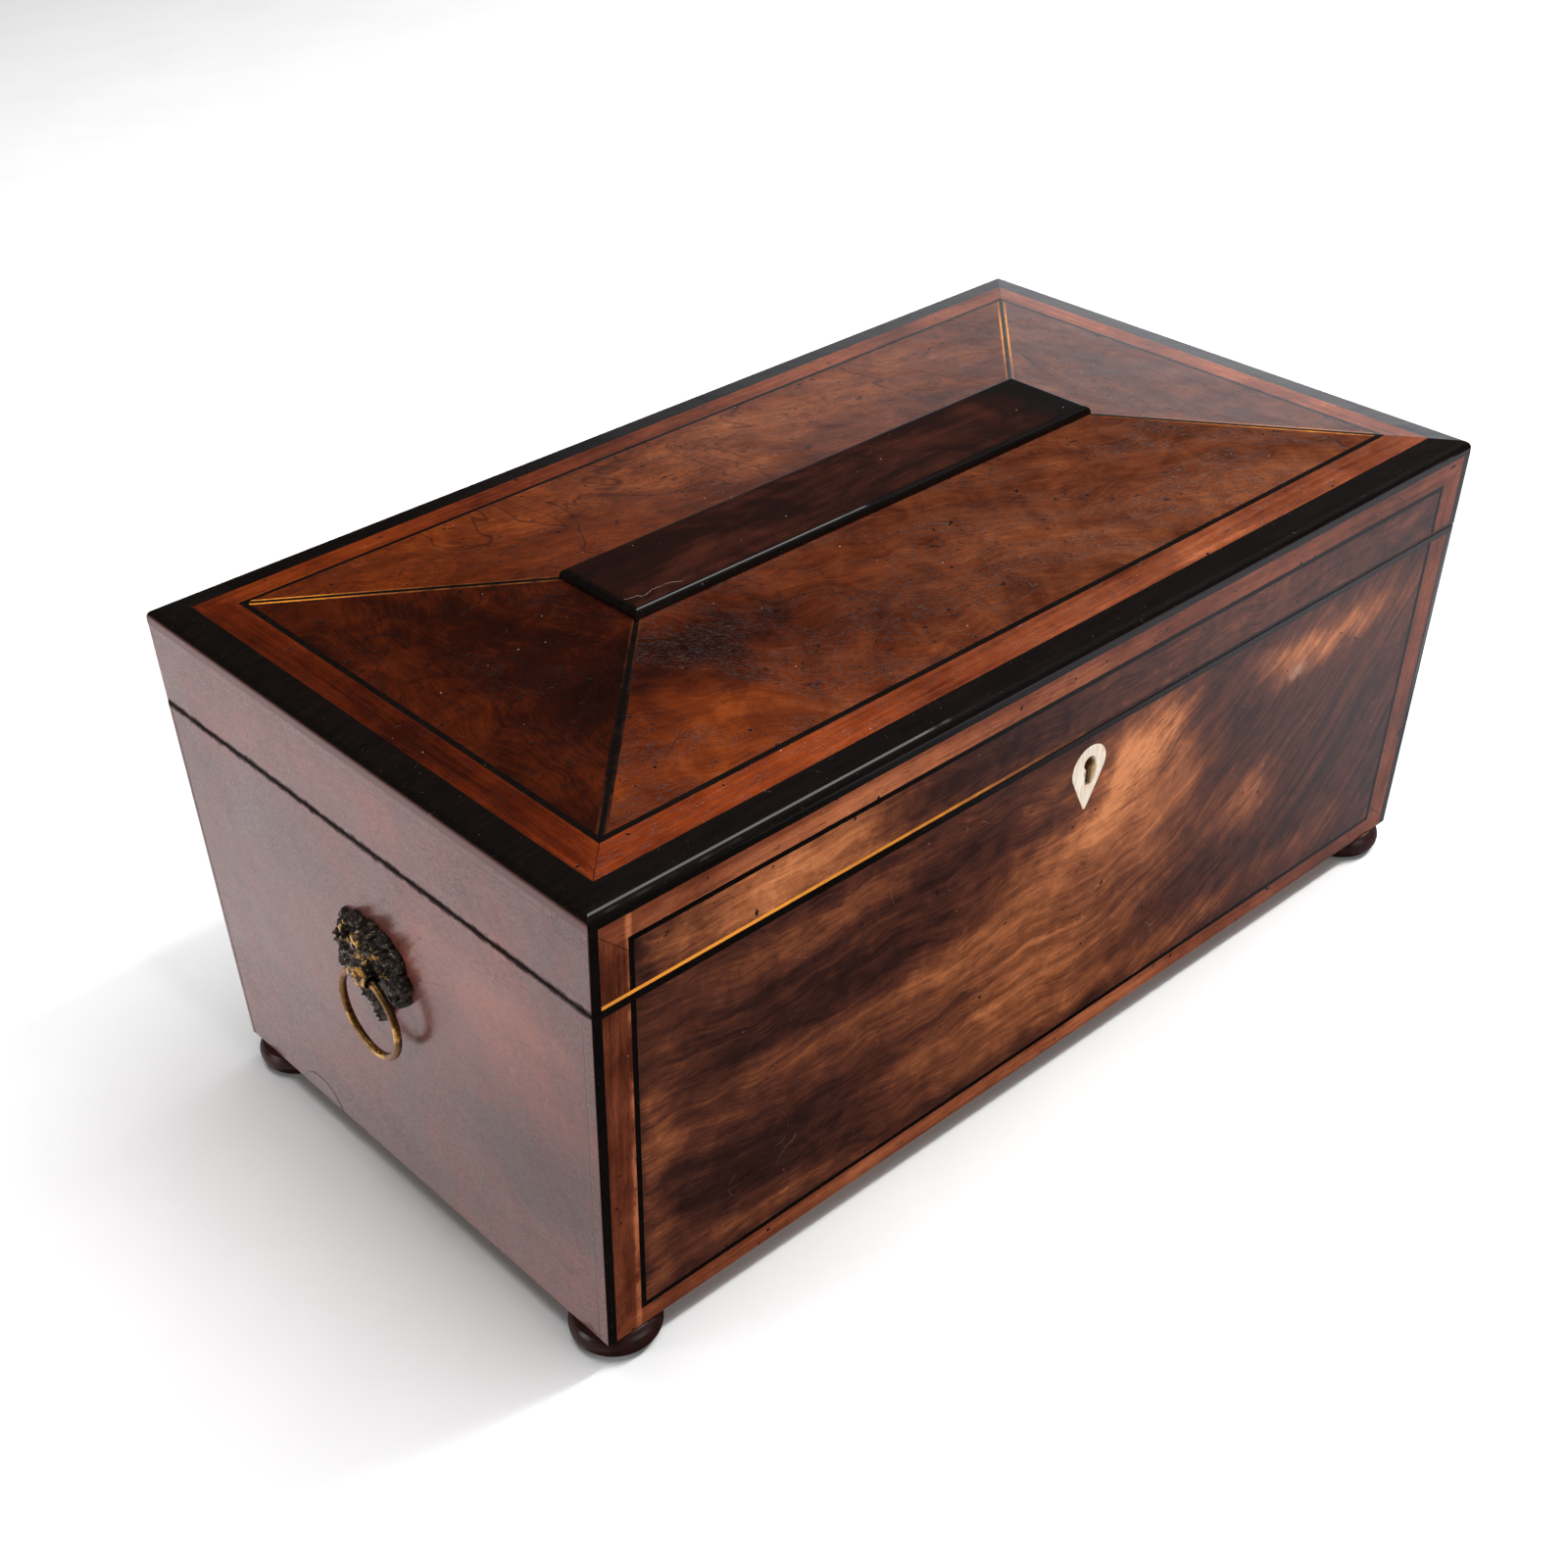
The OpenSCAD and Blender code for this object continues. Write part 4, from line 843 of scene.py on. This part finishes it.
def face_shell():
    """Rings from the middle of the face to its leafy edge, and down into the wall."""
    turns = np.radians(np.arange(0, 360, FACE_STEP))
    degrees = (np.degrees(turns) + 90) % 360 - 90
    edge = np.interp(degrees, *zip(*MASK_OUTLINE))
    edge += 0.9 * (np.abs(np.sin(6.5 * turns + 0.6)) - 0.6) + 0.35 * np.abs((degrees / 7.2) % 1 - 0.5)
    rows = []
    for part in np.linspace(0.012, 1, FACE_RINGS):
        u, w = part * edge * np.cos(turns), MID_W + part * edge * np.sin(turns)
        rounded = 1 - max(0, (part - 0.93) / 0.07) ** 2 * 0.6
        rows.append(np.stack([u, w, mask_relief(u, w) * rounded], axis=1))
    rows.append(np.stack([u, w, np.full(u.shape, -0.6)], axis=1))
    return np.array(rows)


def muzzle_shell():
    """A strap across the ring: each row goes over the top and back along the underside."""
    levels = np.concatenate([
        np.linspace(-3.4, -TUNNEL - 0.02, 9),
        np.linspace(-TUNNEL, TUNNEL, 25),
        np.linspace(TUNNEL + 0.02, 7.4, 27),
    ])
    rows = []
    for w in levels:
        half = MUZZLE_HALF * math.sqrt(max(0.02, 1 - ((w - 2.2) / 5.8) ** 2))
        across = np.linspace(-1, 1, MUZZLE_COLUMNS) * half
        top = muzzle_top(across, w, half)
        over = abs(w) <= TUNNEL
        roof = RING_OUT + math.sqrt(max(0, TUNNEL ** 2 - w ** 2)) if over else 1.0
        top = np.maximum(top, roof + SKIN)
        above = np.stack([across, np.full(across.shape, w), top], axis=1)
        below = np.stack([across[::-1], np.full(across.shape, w), np.full(across.shape, roof)], axis=1)
        rows.append(np.concatenate([above, below]))
    return np.array(rows)


for side, end in ((-1, "left"), (1, "right")):
    lion = closed_mesh(end + "_lion", side, [face_shell(), muzzle_shell()])
    lion.data.materials.append(bronze)
    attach(lion, "case")
    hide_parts(end + "_mask")


# ---------------------------------------------------------------- studio


def area_light(name, place, aim, size, watts):
    data = bpy.data.lights.new(name, "AREA")
    data.shape = "RECTANGLE"
    data.size, data.size_y = size
    data.energy = watts
    light = bpy.data.objects.new(name, data)
    SCENE.collection.objects.link(light)
    light.location = place
    light.rotation_euler = (Vector(aim) - Vector(place)).to_track_quat("-Z", "Y").to_euler()


# The strip gives the thin white line along the ebony arris.
area_light("overhead", (0.2, -0.05, 1.8), (0.1, 0, 0), (1.4, 1.7), 41)
area_light("strip", (1.14, -0.34, 1.2), (1.14, 0, 0), (1.3, 0.1), 20)
area_light("left_side", (-1.3, 0.42, 0.24), (-0.1, 0, 0.06), (0.4, 0.36), 7)
area_light("front_fill", (0.3, -1.5, 0.6), (0, 0, 0.06), (1.0, 0.6), 8)

world = bpy.data.worlds.new("studio")
world.use_nodes = True
sky_colour, sky_strength = world.node_tree.nodes["Background"].inputs[:2]
sky_colour.default_value = (1.0, 0.96, 0.9, 1)
sky_strength.default_value = 0.035
SCENE.world = world


def stage_mesh(name, points, faces):
    data = bpy.data.meshes.new(name)
    data.from_pydata(points, [], faces)
    thing = bpy.data.objects.new(name, data)
    SCENE.collection.objects.link(thing)
    return thing


def flat(name, low, high, z):
    """A level rectangle between two corners."""
    points = [(low[0], low[1], z), (high[0], low[1], z), (high[0], high[1], z), (low[0], high[1], z)]
    return stage_mesh(name, points, [(0, 1, 2, 3)])


def light_up(card, glow, colour, strength, on_diffuse=False):
    """Makes a card that is seen in the polish and not by the camera."""
    card.visible_camera = False
    card.visible_shadow = False
    card.visible_transmission = False
    card.visible_diffuse = on_diffuse
    glow.set(Base_Color=(0, 0, 0), Emission_Color=colour, Emission_Strength=strength, Roughness=1.0)
    card.data.materials.append(glow.material)


FLOOR_REACH, CARD_Z = 6.0, 0.001
floor = flat("floor", (-FLOOR_REACH, -FLOOR_REACH), (FLOOR_REACH, FLOOR_REACH), 0)
floor.visible_glossy = False
pale = Graph("pale_floor")
paper = pale.noise(pale.place, 0.02, 3)
pale.set(Base_Color=pale.ramp(paper, [(0.3, (0.86, 0.86, 0.86)), (0.7, (0.89, 0.89, 0.89))]))
pale.set(Roughness=0.85)
floor.data.materials.append(pale.material)

# A white card low on the left, which the left end reflects.
card = flat("left_card", (-0.9, -0.10), (-0.154, 0.9), CARD_Z)
glow = Graph("left_card")
away = glow.math("SUBTRACT", glow.y, glow.times(glow.math("ADD", glow.x, EDGE_X), 1.1))
light_up(card, glow, (1.0, 0.89, 0.90), glow.range(away, 0, 170, 0.93, 1.45))

# Another in front of the right half of the case front.
card = flat("front_card", (0, -0.5), (0.5, -0.08), CARD_Z)
glow = Graph("front_card")
light_up(card, glow, (0.96, 0.92, 1.0), glow.range(glow.x, 20, 230, 0.0, 0.9))

# A curved white wall on the right and behind, brightest low on the right.
WALL_R, WALL_LOW, WALL_HIGH, WALL_POINTS = 1.6, 0.002, 0.75, 22
turns = [math.radians(-12 + 4 * i) for i in range(WALL_POINTS)]
wall_points = [
    (WALL_R * math.cos(t), WALL_R * math.sin(t), z) for z in (WALL_LOW, WALL_HIGH) for t in turns
]
wall_faces = [(i, i + 1, i + 1 + WALL_POINTS, i + WALL_POINTS) for i in range(WALL_POINTS - 1)]
wall = stage_mesh("right_wall", wall_points, wall_faces)
glow = Graph("right_wall")
heading = glow.math("ARCTAN2", glow.y, glow.x)
across = glow.range(heading, math.radians(30), math.radians(66), 1.0, 0.0)
upward_fade = glow.range(glow.z, 420, 740, 1.0, 0.0)
strength = glow.times(glow.times(across, upward_fade), 1.55)
light_up(wall, glow, (0.93, 0.94, 1.0), strength, on_diffuse=True)

# The camera's place and turn come from the perspective of the case's edges.
CAMERA_PLACE, LENS = (-0.3521, -0.37626, 0.40255), 51.143
yaw, pitch, roll = (math.radians(a) for a in (41.19, -33.93, -1.99))
forward = Vector((math.sin(yaw) * math.cos(pitch), math.cos(yaw) * math.cos(pitch), math.sin(pitch)))
level = forward.cross(Vector((0, 0, 1))).normalized()
lift = level.cross(forward)
right = level * math.cos(roll) + lift * math.sin(roll)
upward = lift * math.cos(roll) - level * math.sin(roll)
camera_data = bpy.data.cameras.new("camera")
camera_data.sensor_width = 36
camera_data.lens = LENS
camera_data.clip_start = 0.01
camera = bpy.data.objects.new("camera", camera_data)
SCENE.collection.objects.link(camera)
turn = Matrix((right, upward, -forward)).transposed().to_4x4()
camera.matrix_world = Matrix.Translation(CAMERA_PLACE) @ turn
SCENE.camera = camera
SCENE.view_settings.view_transform = "Standard"
SCENE.view_settings.look = "None"
